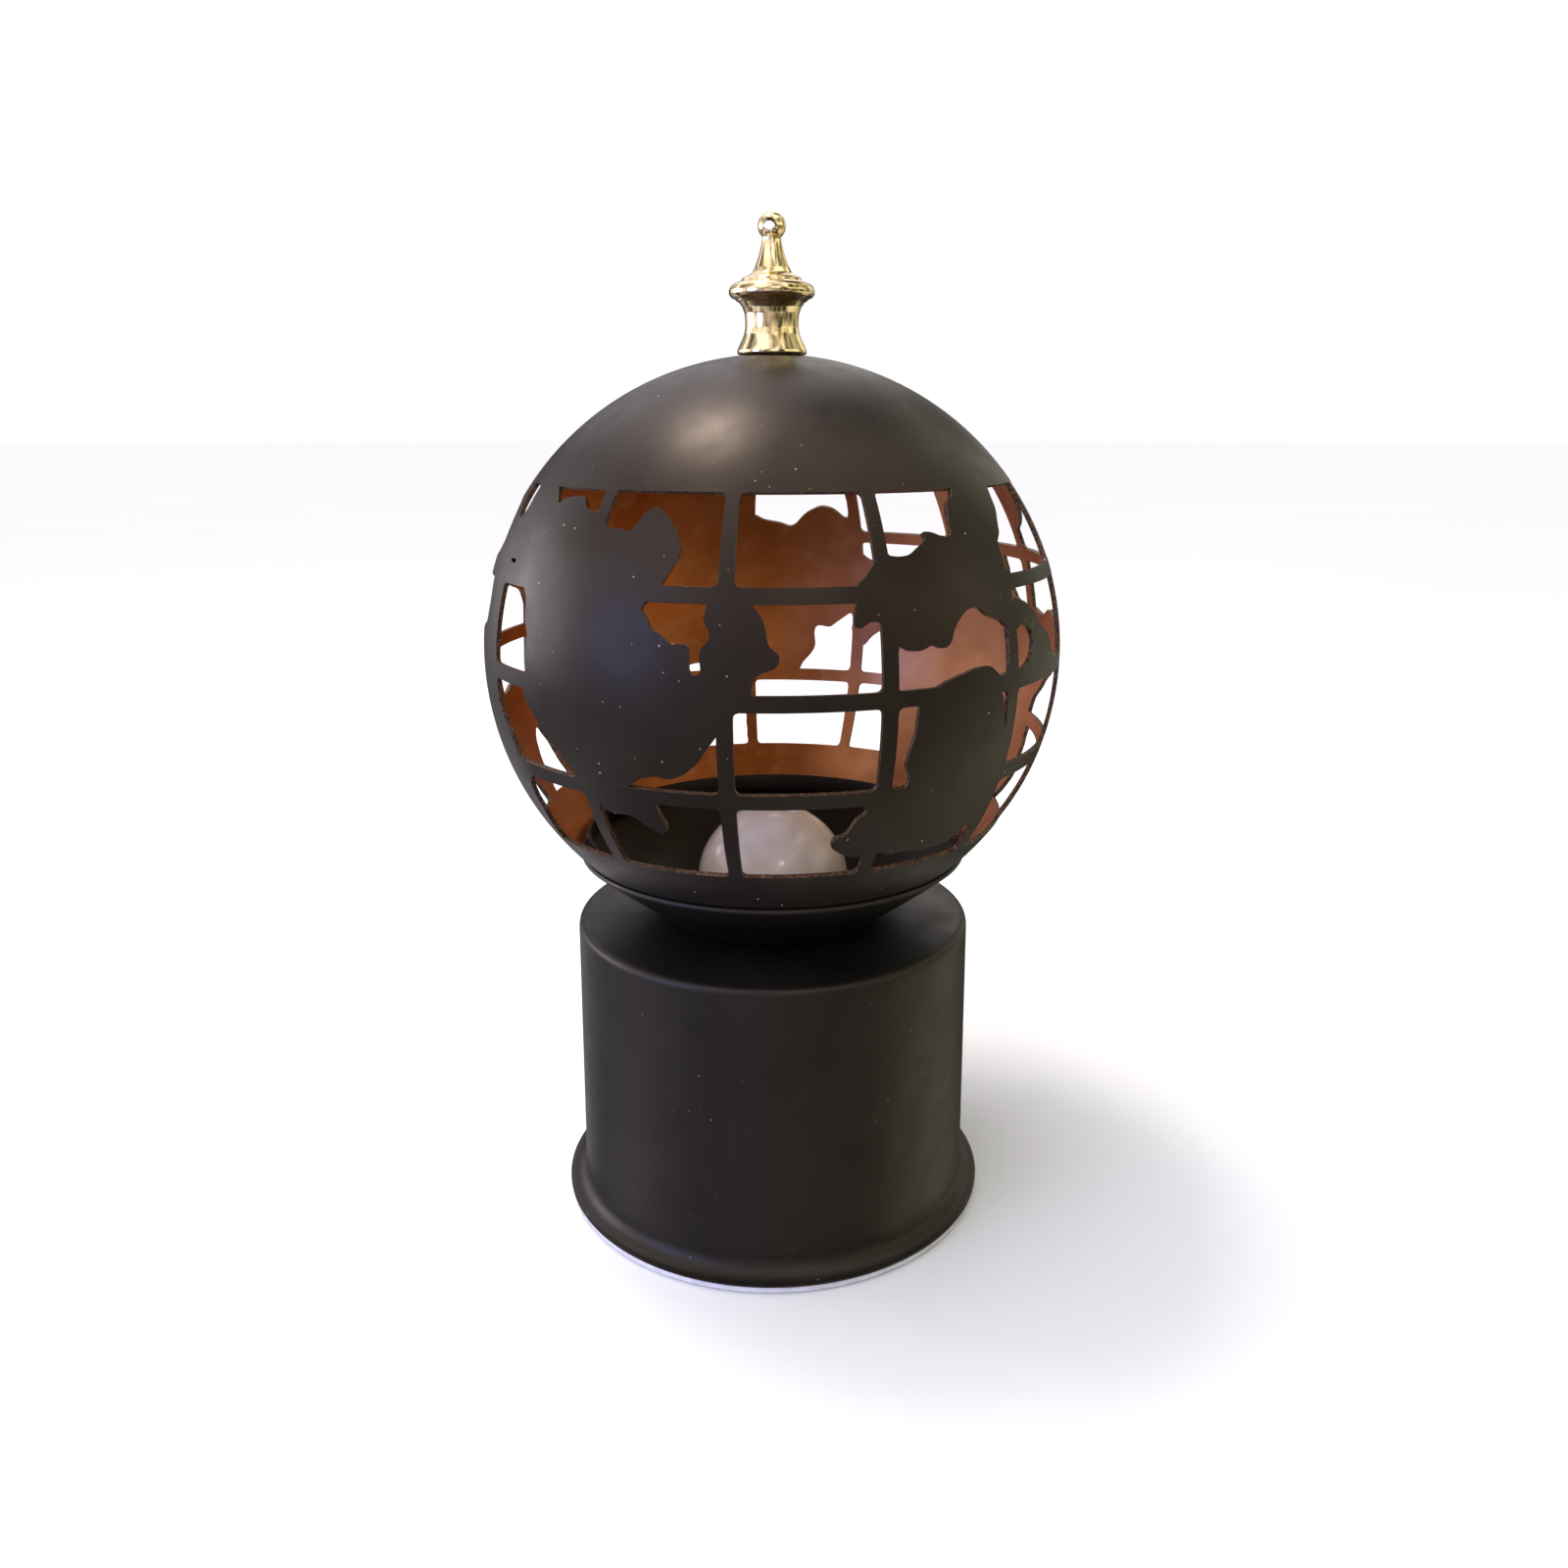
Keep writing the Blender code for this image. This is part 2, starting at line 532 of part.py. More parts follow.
def build_bracket():
    half = [(25.4, 83.3), (37.0, 83.3), (37.0, 82.1), (26.6, 82.1), (26.6, 34.2)]
    left = [(-x, z) for x, z in reversed(half)]
    inner = [(-25.4, 35.4), (25.4, 35.4)]
    points = [(x * MM, z * MM) for x, z in half + left + inner]
    mesh = outline_mesh("socket_bracket", points, 6.0 * MM)
    mesh.transform(Matrix.Rotation(math.radians(90), 4, "X"))
    bracket = place("socket_bracket", mesh, MATERIALS["steel"])
    boolean(bracket, drill("nipple_cutter", 0, 0, 5.0 * MM, 30 * MM, 38 * MM, 16))
    for number, x in enumerate((-31.5, 31.5), 1):
        hole = drill(f"rivet_cutter_{number}", x * MM, 0, 1.7 * MM, 80 * MM, 87 * MM)
        boolean(bracket, hole)
        boolean(MOUNTING_PLATE, hole)
        rivet = mm_points((0, 85.0), (1.4, 85.0), (1.4, 81.8), (2.6, 81.8), (2.0, 80.9),
                          (0, 80.7))
        turned(f"bracket_rivet_{number}", rivet, MATERIALS["steel"], 12,
               location=(x * MM, 0, 0))


def build_lampholder():
    body = mm_points((0, 39.3), (7.9, 39.3), (7.9, 60.0), (12.4, 60.0), (13.0, 59.4),
                     (13.0, 36.3), (12.4, 35.7), (4.7, 35.7), (4.7, 31.2), (0, 31.2))
    turned("lampholder_body", list(body), MATERIALS["plastic"], 24)
    ring("lampholder_sleeve", 7.2 * MM, 7.6 * MM, 42.0 * MM, 58.0 * MM, MATERIALS["nickel"], 24)
    nut = place("lampholder_nut", cylinder_mesh("lampholder_nut", 8.0 * MM, 31.5 * MM,
                                                33.9 * MM, 6), MATERIALS["steel"])
    boolean(nut, drill("nut_bore_cutter", 0, 0, 5.0 * MM, 30 * MM, 35 * MM, 16))
    tongue = [(-5.5, 39.6), (1.0, 39.6), (4.5, 40.4), (4.5, 40.8), (0.8, 40.0), (-5.5, 40.0)]
    mesh = outline_mesh("lampholder_contact", [(x * MM, z * MM) for x, z in tongue], 1.5 * MM)
    mesh.transform(Matrix.Rotation(math.radians(90), 4, "X"))
    place("lampholder_contact", mesh, MATERIALS["brass"])


def build_bulb():
    open_angle = -35.4  # where the glass ends, below its widest line
    glass = arc(0.0, BULB_CENTRE_Z, BULB_RADIUS, 90, open_angle, 10)
    turned("bulb_glass", glass, MATERIALS["opal"], 24, wall=1.0 * MM)
    collar = mm_points((0, 82.3), (18.4, 82.3), (18.8, 81.5), (16.6, 76.0), (11.6, 69.0),
                       (8.9, 64.6), (8.9, 63.5), (0, 63.5))
    turned("bulb_collar", collar, MATERIALS["white_plastic"], 24)
    turned("bulb_led_board", mm_points((0, 84.0), (15.0, 84.0), (15.0, 82.7), (0, 82.7)),
           MATERIALS["board"], 20)
    cap = mm_points((CAP_RADIUS / MM, 63.2), (CAP_RADIUS / MM, 47.2), (5.4, 45.4), (3.6, 45.4))
    turned("bulb_screw_cap", cap, MATERIALS["nickel"], 24, wall=0.4 * MM)
    turned("bulb_insulator", mm_points((0, 45.1), (4.6, 45.1), (2.8, 42.9), (0, 42.9)),
           MATERIALS["plastic"], 16)
    turned("bulb_tip_contact", mm_points((0, 42.6), (2.2, 42.6), (2.3, 41.7), (1.4, 41.2),
                                         (0, 41.2)), MATERIALS["nickel"], 12)


# ---------------------------------------------------------------- power

def build_tray():
    outer = mm_box("cell_tray", (-29.7, -24.6, 4.7), (29.7, 24.6, TRAY_TOP / MM),
                   MATERIALS["plastic"])
    boolean(outer, mm_box("tray_hollow_cutter", (-28.5, -23.4, 4), (28.5, 23.4, 20.9)))


def build_cell(number, y, direction):
    """One cell along X. direction is +1 with the button towards +X, -1 the other way."""
    length = CELL_LENGTH / MM
    radius = CELL_RADIUS / MM
    profile = mm_points((0, length), (2.6, length), (2.7, length - 1.2), (6.5, length - 1.2),
                        (radius, length - 1.6), (radius, 0.3), (6.8, 0.0), (0, 0))
    button_tip = CONTACT_X - GAP
    cell = turned(f"cell_{number}", profile, MATERIALS["cell"], 20)
    cell.rotation_euler.y = math.radians(90 * direction)
    cell.location = (direction * (button_tip - CELL_LENGTH), y, CELL_Z)

    turns = 2.75
    per_turn = 10
    low = -CONTACT_X + GAP + 0.35 * MM
    high = button_tip - CELL_LENGTH - GAP - 0.35 * MM
    count = int(turns * per_turn)
    points = []
    for i in range(count + 1):
        t = i / count
        a = math.tau * turns * t
        r = (4.6 - 1.8 * t) * MM
        points.append((direction * (low + (high - low) * t), y + r * math.cos(a),
                       CELL_Z + r * math.sin(a)))
    wire(f"cell_spring_{number}", points, 0.32 * MM, MATERIALS["nickel"], resolution=1)


def build_cells():
    build_tray()
    for number, (row, direction) in enumerate(((-1, -1), (0, 1), (1, -1)), 1):
        build_cell(number, row * CELL_PITCH, direction)
    inner = CONTACT_X / MM
    pitch = CELL_PITCH / MM
    plates = (("link_plate_left", -1, -pitch - 5, 5),
              ("terminal_plate_left", -1, pitch - 5, pitch + 5),
              ("terminal_plate_right", 1, -pitch - 5, -pitch + 5),
              ("link_plate_right", 1, -5, pitch + 5))
    for name, side, y_low, y_high in plates:
        x_low, x_high = sorted((side * inner, side * (inner + 0.4)))
        mm_box(name, (x_low, y_low, 7.0), (x_high, y_high, 19.0), MATERIALS["nickel"])


def build_door():
    """The cover of the cell bay, on two pins along its left edge."""
    axis_x = -27.0 * MM
    axis_z = 3.4 * MM
    panel = box_mesh("cell_door", (-1.1 * MM, -23.0 * MM, -0.8 * MM),
                     (55.1 * MM, 23.0 * MM, 0.8 * MM))
    door = place("cell_door", panel, MATERIALS["plastic"], (axis_x, 0, axis_z))
    pin = cylinder_mesh("door_pin", 0.75 * MM, -25.0 * MM, 25.0 * MM, 12)
    pin.transform(Matrix.Rotation(math.radians(90), 4, "X"))
    boolean(door, cutter_object("door_pin", pin, (axis_x, 0, axis_z)), "UNION")
    boolean(door, mm_box("thumb_notch_cutter", (25.6, -6, 2.0), (29, 6, 3.2)))


def build_switch():
    body = mm_box("switch_body", (-7, -42, 4.7), (7, -34, 10.6), MATERIALS["plastic"])
    boolean(body, mm_box("switch_recess_cutter", (-4.6, -40.3, 4), (4.6, -35.7, 6.4)))
    mm_box("switch_knob", (-4.3, -39.9, 1.2), (-0.5, -36.1, 6.1), MATERIALS["white_plastic"],
           round_edges=0.3)


def build_board_and_wires():
    mm_box("driver_board", (-22, -4, 22.5), (22, 20, 24.1), MATERIALS["board"])
    for name, x, mat in (("lamp_wire_live", 3, "red_wire"), ("lamp_wire_return", -3, "black_wire")):
        route = ((x, 14, 24.5), (x, 16, 28), (x, 13.5, 32), (x, 10.9, 35.3))
        wire(name, smooth_route(route), 0.7 * MM, MATERIALS[mat])
    for name, x, mat in (("switch_wire_live", 3, "red_wire"), ("switch_wire_out", -3, "black_wire")):
        route = ((x, 0, 24.5), (x, -4, 29), (x, -20, 28), (x, -29.5, 20), (x, -37, 15),
                 (x, -38, 11))
        wire(name, smooth_route(route, 3), 0.7 * MM, MATERIALS[mat])


# ---------------------------------------------------------------- assembly

clear_scene()
PARTS = new_collection("globe_lamp")
CUTTERS = new_collection("cutters")
WINDOW_CUTTERS = new_collection("window_cutters")
MATERIALS = {
    "globe": material("globe_bronze", BRONZE, 0.45, 0.6),
    "drum": material("drum_black", BLACK, 0.5, 0.4),
    "brass": material("polished_brass", BRASS, 0.18, 1.0),
    "steel": material("zinc_steel", STEEL, 0.4, 1.0),
    "nickel": material("nickel_plate", NICKEL, 0.3, 1.0),
    "opal": material("opal_glass", OPAL, 0.35, 0.0),
    "plastic": material("black_plastic", (0.03, 0.03, 0.03), 0.6, 0.0),
    "white_plastic": material("white_plastic", (0.8, 0.8, 0.78), 0.5, 0.0),
    "board": material("circuit_board", (0.05, 0.22, 0.10), 0.5, 0.0),
    "cell": material("cell_jacket", (0.10, 0.12, 0.16), 0.4, 0.3),
    "pad": material("clear_pad", (0.74, 0.73, 0.78), 0.6, 0.0),
    "red_wire": material("red_wire", (0.5, 0.03, 0.02), 0.5, 0.0),
    "black_wire": material("black_wire", (0.02, 0.02, 0.02), 0.5, 0.0),
}

build_globe()
build_finial()
DRUM = build_drum()
MOUNTING_PLATE = build_mounting_plate()
BASE_PLATE = build_base_plate()
build_dish()
build_tie_rods()
build_bracket()
build_lampholder()
build_bulb()
build_cells()
build_door()
build_switch()
build_board_and_wires()
ring("foot_pad", 50.0 * MM, 62.7 * MM, 0.0, PAD_HEIGHT, MATERIALS["pad"], 36)
for piece in PARTS.objects:
    if piece.type == "MESH" and piece.data.polygons:
        smooth(piece.data)
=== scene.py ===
"""Looks of the globe lamp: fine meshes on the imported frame, procedural materials, studio and camera.

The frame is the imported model's: metres, +Z up, the lamp stands on z = 0 and its front faces -Y.
Longitudes on the globe are counted from -Y, growing towards +X, and latitudes from its equator.
"""

import json
import math

import bmesh
import bpy
from mathutils import Matrix, Vector, kdtree, noise
from mathutils.geometry import delaunay_2d_cdt


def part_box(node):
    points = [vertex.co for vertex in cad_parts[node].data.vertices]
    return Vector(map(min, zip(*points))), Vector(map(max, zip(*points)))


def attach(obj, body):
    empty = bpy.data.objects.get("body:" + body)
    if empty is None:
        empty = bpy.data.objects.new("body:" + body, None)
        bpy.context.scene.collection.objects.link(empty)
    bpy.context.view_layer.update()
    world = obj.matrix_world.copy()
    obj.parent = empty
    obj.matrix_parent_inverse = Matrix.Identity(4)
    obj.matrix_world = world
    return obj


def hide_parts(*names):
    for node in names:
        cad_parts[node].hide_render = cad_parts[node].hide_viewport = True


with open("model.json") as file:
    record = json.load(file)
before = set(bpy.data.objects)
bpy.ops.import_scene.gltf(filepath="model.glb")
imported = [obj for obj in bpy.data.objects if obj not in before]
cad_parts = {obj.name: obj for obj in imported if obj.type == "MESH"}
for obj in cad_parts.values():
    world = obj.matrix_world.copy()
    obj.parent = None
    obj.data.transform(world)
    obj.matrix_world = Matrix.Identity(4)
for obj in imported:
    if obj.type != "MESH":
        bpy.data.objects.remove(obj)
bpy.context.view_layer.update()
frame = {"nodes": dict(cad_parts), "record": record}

MM = 0.001

# ---------------------------------------------------------------- sizes, read from the frame

RIM_LATITUDE = -46.4
GLOBE_LOW, GLOBE_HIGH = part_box("globe_shell")
GLOBE_RADIUS = (GLOBE_HIGH.x - GLOBE_LOW.x) / 2
GLOBE_CENTRE_Z = GLOBE_LOW.z - GLOBE_RADIUS * math.sin(math.radians(RIM_LATITUDE))
GLOBE_WALL = 1.2 * MM
ARRIS_WIDTH = 0.11 * MM
STUD_HOLE_RADIUS = 2.3 * MM
DISH_WALL = 0.9 * MM
DRUM_WALL = 1.0 * MM
BULB_CENTRE_Z = 95.9 * MM
BULB_RADIUS = 22.7 * MM
BULB_WALL = 1.0 * MM
BULB_NECK_ANGLE = -35.4  # degrees below the bulb's equator, where the glass ends
THREAD_PITCH = 2.82 * MM

MERIDIANS = 13
MERIDIAN_PITCH = 360.0 / MERIDIANS
FIRST_MERIDIAN = -7.4
BAR_HALF_WIDTH = 1.4
ROW_EDGES = {1: (35.5, 18.9), 2: (16.2, 1.4), 3: (-1.4, -16.1), 4: (-18.9, -35.3)}

CORNER_RADIUS = 1.25  # degrees, the cells' rounded corners
CAP_LATITUDE = 39.6  # above it the sheet has no windows
GRID_STEP = 2.0  # degrees, mesh spacing over the land
GRID_AROUND = round(360.0 / GRID_STEP)
CAP_RINGS = 24
OUTLINE_STEP = 0.7  # degrees, spacing of the points along a coast
CLOSEST_POINTS = 0.05  # degrees, below this two points of an outline become one
COAST_WIGGLE = 0.34  # degrees
WIGGLES_PER_DEGREE = 0.55
EAST_LAYER = 0.5  # the noise layers that sway a coast east and north
NORTH_LAYER = 60.5
COAST_SOFTENING = 2  # rounds of averaging along the open coast
ROOM_OFFSET = (3.1, 1.7, 0.6)  # which part of the noise the room's bright patches come from
DUST_COLOUR = (0.42, 0.36, 0.28)


# ---------------------------------------------------------------- node materials

def new_material(name, colour, roughness, metallic=0.0):
    mat = bpy.data.materials.new(name)
    mat.use_nodes = True
    shader = mat.node_tree.nodes["Principled BSDF"]
    shader.inputs["Base Color"].default_value = (*colour, 1.0)
    shader.inputs["Roughness"].default_value = roughness
    shader.inputs["Metallic"].default_value = metallic
    mat.diffuse_color = (*colour, 1.0)
    return mat, mat.node_tree, shader


def add_node(tree, kind, **settings):
    made = tree.nodes.new("ShaderNode" + kind)
    for key, value in settings.items():
        setattr(made, key, value)
    return made


def place_coordinates(tree, stretch=(1.0, 1.0, 1.0)):
    """The piece's own coordinates, in metres, stretched along an axis where asked."""
    coords = add_node(tree, "TexCoord")
    mapping = add_node(tree, "Mapping")
    mapping.inputs["Scale"].default_value = stretch
    tree.links.new(coords.outputs["Object"], mapping.inputs["Vector"])
    return mapping.outputs["Vector"]


def noise_field(tree, feature, detail=3.0, stretch=(1.0, 1.0, 1.0)):
    """Noise whose features are about that many metres wide."""
    field = add_node(tree, "TexNoise")
    field.inputs["Scale"].default_value = 1.0 / feature
    field.inputs["Detail"].default_value = detail
    tree.links.new(place_coordinates(tree, stretch), field.inputs["Vector"])
    return field.outputs["Fac"]


def ramp(tree, factor, *stops):
    """Colours along a factor: each stop is (position, colour)."""
    made = add_node(tree, "ValToRGB")
    elements = made.color_ramp.elements
    while len(elements) < len(stops):
        elements.new(0.5)
    for element, (position, colour) in zip(elements, stops):
        element.position = position
        element.color = (*colour, 1.0)
    tree.links.new(factor, made.inputs["Fac"])
    return made.outputs["Color"]


def remap(tree, factor, low, high, to_low, to_high):
    made = add_node(tree, "MapRange")
    made.inputs["From Min"].default_value = low
    made.inputs["From Max"].default_value = high
    made.inputs["To Min"].default_value = to_low
    made.inputs["To Max"].default_value = to_high
    tree.links.new(factor, made.inputs["Value"])
    return made.outputs["Result"]


def combine(tree, operation, first, second):
    made = add_node(tree, "Math", operation=operation)
    for socket, value in zip(made.inputs, (first, second)):
        if isinstance(value, float):
            socket.default_value = value
        else:
            tree.links.new(value, socket)
    return made.outputs["Value"]


def mix_colour(tree, factor, first, second):
    made = add_node(tree, "Mix", data_type="RGBA")
    tree.links.new(factor, made.inputs["Factor"])
    for socket, value in zip((made.inputs[6], made.inputs[7]), (first, second)):
        if isinstance(value, tuple):
            socket.default_value = (*value, 1.0)
        else:
            tree.links.new(value, socket)
    return made.outputs[2]


def relief(tree, shader, height, distance, strength=1.0):
    made = add_node(tree, "Bump")
    made.inputs["Strength"].default_value = strength
    made.inputs["Distance"].default_value = distance
    tree.links.new(height, made.inputs["Height"])
    tree.links.new(made.outputs["Normal"], shader.inputs["Normal"])


def specks(tree, spacing, size, share):
    """1 on small scattered spots, 0 elsewhere."""
    cells = add_node(tree, "TexVoronoi")
    cells.inputs["Scale"].default_value = 1.0 / spacing
    tree.links.new(place_coordinates(tree), cells.inputs["Vector"])
    near = combine(tree, "LESS_THAN", cells.outputs["Distance"], size)
    split = add_node(tree, "SeparateColor")
    tree.links.new(cells.outputs["Color"], split.inputs["Color"])
    chosen = combine(tree, "GREATER_THAN", split.outputs["Red"], 1.0 - share)
    return combine(tree, "MULTIPLY", near, chosen)


def satin_paint(name, dark, light, roughness, dust, metallic, tint, specular):
    """Sprayed satin paint: cloudy tone, fine orange peel and a little dust."""
    mat, tree, shader = new_material(name, dark, roughness, metallic)
    shader.inputs["Specular IOR Level"].default_value = specular
    shader.inputs["Specular Tint"].default_value = (*tint, 1.0)
    cloud = noise_field(tree, 26 * MM, 4.0)
    tone = ramp(tree, cloud, (0.36, dark), (0.68, light))
    spots = specks(tree, 3.2 * MM, 0.08, 0.12)
    spots_small = specks(tree, 1.9 * MM, 0.08, 0.08)
    dusty = combine(tree, "MAXIMUM", spots, spots_small)
    amount = combine(tree, "MULTIPLY", dusty, dust)
    tree.links.new(mix_colour(tree, amount, tone, DUST_COLOUR),
                   shader.inputs["Base Color"])
    rubbed = noise_field(tree, 9 * MM, 5.0)
    tree.links.new(remap(tree, rubbed, 0.3, 0.7, roughness - 0.05, roughness + 0.06),
                   shader.inputs["Roughness"])
    relief(tree, shader, noise_field(tree, 0.5 * MM, 2.0), 0.012 * MM, 0.7)
    return mat


def copper_paint(name):
    """The globe's warm metallic inside, cloudy, with a painted reflection: paler towards its right."""
    mat, tree, shader = new_material(name, (0.58, 0.21, 0.06), 0.42, 1.0)
    cloud = noise_field(tree, 30 * MM, 5.0)
    blotch = noise_field(tree, 7 * MM, 4.0)
    base = ramp(tree, cloud, (0.3, (0.42, 0.135, 0.03)), (0.52, (0.58, 0.205, 0.055)),
                (0.75, (0.72, 0.30, 0.105)))
    thin = remap(tree, blotch, 0.52, 0.72, 0.0, 0.3)
    coat = mix_colour(tree, thin, base, (0.80, 0.42, 0.2))
    split = add_node(tree, "SeparateXYZ")
    tree.links.new(place_coordinates(tree), split.inputs["Vector"])
    # Painted reflection: the copper turns paler and pinker towards +X, in cloudy patches, standing in
    # for light falling on the right inner wall
    painted_light_right = remap(tree, split.outputs["X"], 0.0, 72 * MM, 0.0, 0.8)
    painted_light_patches = combine(tree, "MULTIPLY", painted_light_right, remap(tree, cloud, 0.35, 0.65, 0.45, 1.0))
    tree.links.new(mix_colour(tree, painted_light_patches, coat, (0.98, 0.60, 0.38)),
                   shader.inputs["Base Color"])
    tree.links.new(remap(tree, blotch, 0.3, 0.7, 0.38, 0.5), shader.inputs["Roughness"])
    relief(tree, shader, noise_field(tree, 0.45 * MM, 2.0), 0.02 * MM, 0.6)
    return mat


def cut_edge(name):
    """The cut edge of the sheet: copper-toned, with fine marks across it."""
    mat, tree, shader = new_material(name, (0.12, 0.07, 0.045), 0.42, 0.6)
    marks = noise_field(tree, 0.7 * MM, 3.0)
    tree.links.new(ramp(tree, marks, (0.38, (0.03, 0.02, 0.015)), (0.62, (0.14, 0.075, 0.04)),
                        (0.85, (0.4, 0.24, 0.14))), shader.inputs["Base Color"])
    relief(tree, shader, marks, 0.03 * MM, 0.5)
    return mat


def bare_arris(name):
    """The rubbed corner of the cut edge, where the bright metal shows."""
    mat, tree, shader = new_material(name, (0.5, 0.34, 0.22), 0.3, 1.0)
    rub = noise_field(tree, 2.5 * MM, 3.0)
    tree.links.new(ramp(tree, rub, (0.36, (0.16, 0.10, 0.065)), (0.62, (0.72, 0.52, 0.35))),
                   shader.inputs["Base Color"])
    tree.links.new(remap(tree, rub, 0.3, 0.7, 0.4, 0.28), shader.inputs["Roughness"])
    return mat


def plated_metal(name, colour, deep, roughness, ripple):
    """Metal with faint tarnish, wavy polish and hairline marks."""
    mat, tree, shader = new_material(name, colour, roughness, 1.0)
    cloud = noise_field(tree, 5 * MM, 4.0)
    tree.links.new(ramp(tree, cloud, (0.34, deep), (0.6, colour)), shader.inputs["Base Color"])
    wear = noise_field(tree, 1.8 * MM, 4.0, (1.0, 1.0, 0.4))
    tree.links.new(remap(tree, wear, 0.4, 0.75, roughness, roughness + 0.12),
                   shader.inputs["Roughness"])
    waves = noise_field(tree, 4.5 * MM, 2.0, (1.0, 1.0, 0.6))
    relief(tree, shader, waves, ripple, 0.5)
    return mat


def moulded_plastic(name, colour, other, roughness, grain=0.35 * MM, gloss=0.4):
    mat, tree, shader = new_material(name, colour, roughness)
    shader.inputs["Specular IOR Level"].default_value = gloss
    cloud = noise_field(tree, 12 * MM, 3.0)
    tree.links.new(ramp(tree, cloud, (0.35, colour), (0.7, other)), shader.inputs["Base Color"])
    fine = noise_field(tree, grain, 2.0)
    tree.links.new(remap(tree, fine, 0.3, 0.7, roughness - 0.06, roughness + 0.08),
                   shader.inputs["Roughness"])
    relief(tree, shader, fine, 0.03 * MM, 0.6)
    return mat


def opal_glass(name):
    """Frosted bulb: milky, faintly cloudy, with a soft gloss."""
    mat, tree, shader = new_material(name, (0.84, 0.78, 0.74), 0.28)
    shader.inputs["Subsurface Weight"].default_value = 0.25
    shader.inputs["Subsurface Radius"].default_value = (1.0, 0.7, 0.5)
    shader.inputs["Subsurface Scale"].default_value = 3 * MM
    cloud = noise_field(tree, 11 * MM, 3.0)
    tree.links.new(ramp(tree, cloud, (0.3, (0.78, 0.655, 0.58)), (0.7, (0.88, 0.77, 0.70))),
                   shader.inputs["Base Color"])
    smear = noise_field(tree, 4 * MM, 4.0)
    tree.links.new(remap(tree, smear, 0.35, 0.75, 0.13, 0.24), shader.inputs["Roughness"])
    relief(tree, shader, noise_field(tree, 6 * MM, 2.0), 0.06 * MM, 0.4)
    return mat


def circuit_board(name):
    """Green lacquer with paler copper tracks under it."""
    mat, tree, shader = new_material(name, (0.03, 0.2, 0.08), 0.32)
    tracks = add_node(tree, "TexBrick")
    tracks.inputs["Scale"].default_value = 1.0 / (6 * MM)
    tracks.inputs["Mortar Size"].default_value = 0.06
    tracks.inputs["Color1"].default_value = (0.02, 0.16, 0.06, 1.0)
    tracks.inputs["Color2"].default_value = (0.025, 0.19, 0.075, 1.0)
    tracks.inputs["Mortar"].default_value = (0.10, 0.36, 0.14, 1.0)
    tree.links.new(place_coordinates(tree), tracks.inputs["Vector"])
    tree.links.new(tracks.outputs["Color"], shader.inputs["Base Color"])
    relief(tree, shader, tracks.outputs["Fac"], 0.04 * MM, 0.5)
    return mat


def soft_pad(name):
    """Pale, slightly translucent non-slip pad."""
    mat, tree, shader = new_material(name, (0.62, 0.6, 0.68), 0.55)
    shader.inputs["Subsurface Weight"].default_value = 0.3
    shader.inputs["Subsurface Scale"].default_value = 1 * MM
    cloud = noise_field(tree, 3 * MM, 3.0)
    tree.links.new(ramp(tree, cloud, (0.3, (0.56, 0.54, 0.63)), (0.7, (0.7, 0.69, 0.75))),
                   shader.inputs["Base Color"])
    relief(tree, shader, cloud, 0.05 * MM, 0.5)
    return mat


# ---------------------------------------------------------------- turned shapes

def arc(cx, cz, radius, start, end, steps):
    """Points of a circular arc in the (radius, height) plane, in degrees."""
    points = []
    for i in range(steps + 1):
        a = math.radians(start + (end - start) * i / steps)
        points.append((cx + radius * math.cos(a), cz + radius * math.sin(a)))
    return points


def mm_points(*points):
    return [tuple(v * MM for v in point) for point in points]


def rounded(points, radius, steps=4, closed=False):
    """The chain with its corners turned into arcs. A third value in a point is its own radius."""
    result = []
    count = len(points)
    for i, point in enumerate(points):
        here = Vector(point[:2])
        own = point[2] if len(point) > 2 else radius
        ends = not closed and i in (0, count - 1)
        if ends or own <= 0 or here.x < 1e-9:
            result.append(tuple(here))
            continue
        before = Vector(points[i - 1][:2]) - here
        after = Vector(points[(i + 1) % count][:2]) - here
        angle = before.angle(after)
        if angle > math.radians(172):
            result.append(tuple(here))
            continue
        reach = min(own / math.tan(angle / 2), before.length * 0.48, after.length * 0.48)
        start = here + before.normalized() * reach
        end = here + after.normalized() * reach
        for k in range(steps + 1):
            t = k / steps
            result.append(tuple(start * (1 - t) ** 2 + here * 2 * t * (1 - t) + end * t * t))
    return result


def walled(chain, wall, tip):
    """A closed section: the chain, and the same chain a wall's thickness to its right."""
    outer = [Vector(point[:2]) for point in chain]
    inner = []
    for i, here in enumerate(outer):
        normals = []
        for a, b in ((i - 1, i), (i, i + 1)):
            if a >= 0 and b < len(outer):
                along = (outer[b] - outer[a]).normalized()
                normals.append(Vector((along.y, -along.x)))
        middle = sum(normals, Vector((0.0, 0.0))).normalized()
        inner.append(here + middle * wall / max(middle.dot(normals[0]), 0.3))
    loop = [tuple(p) for p in outer] + [tuple(p) for p in reversed(inner)]
    ends = (0, len(outer) - 1, len(outer), len(loop) - 1)
    loop = [(*p, tip if i in ends else 0.0) for i, p in enumerate(loop)]
    return rounded(loop, 0.0, 3, closed=True)


def new_piece(name, mesh):
    obj = bpy.data.objects.new(name, mesh)
    bpy.context.scene.collection.objects.link(obj)
    return obj


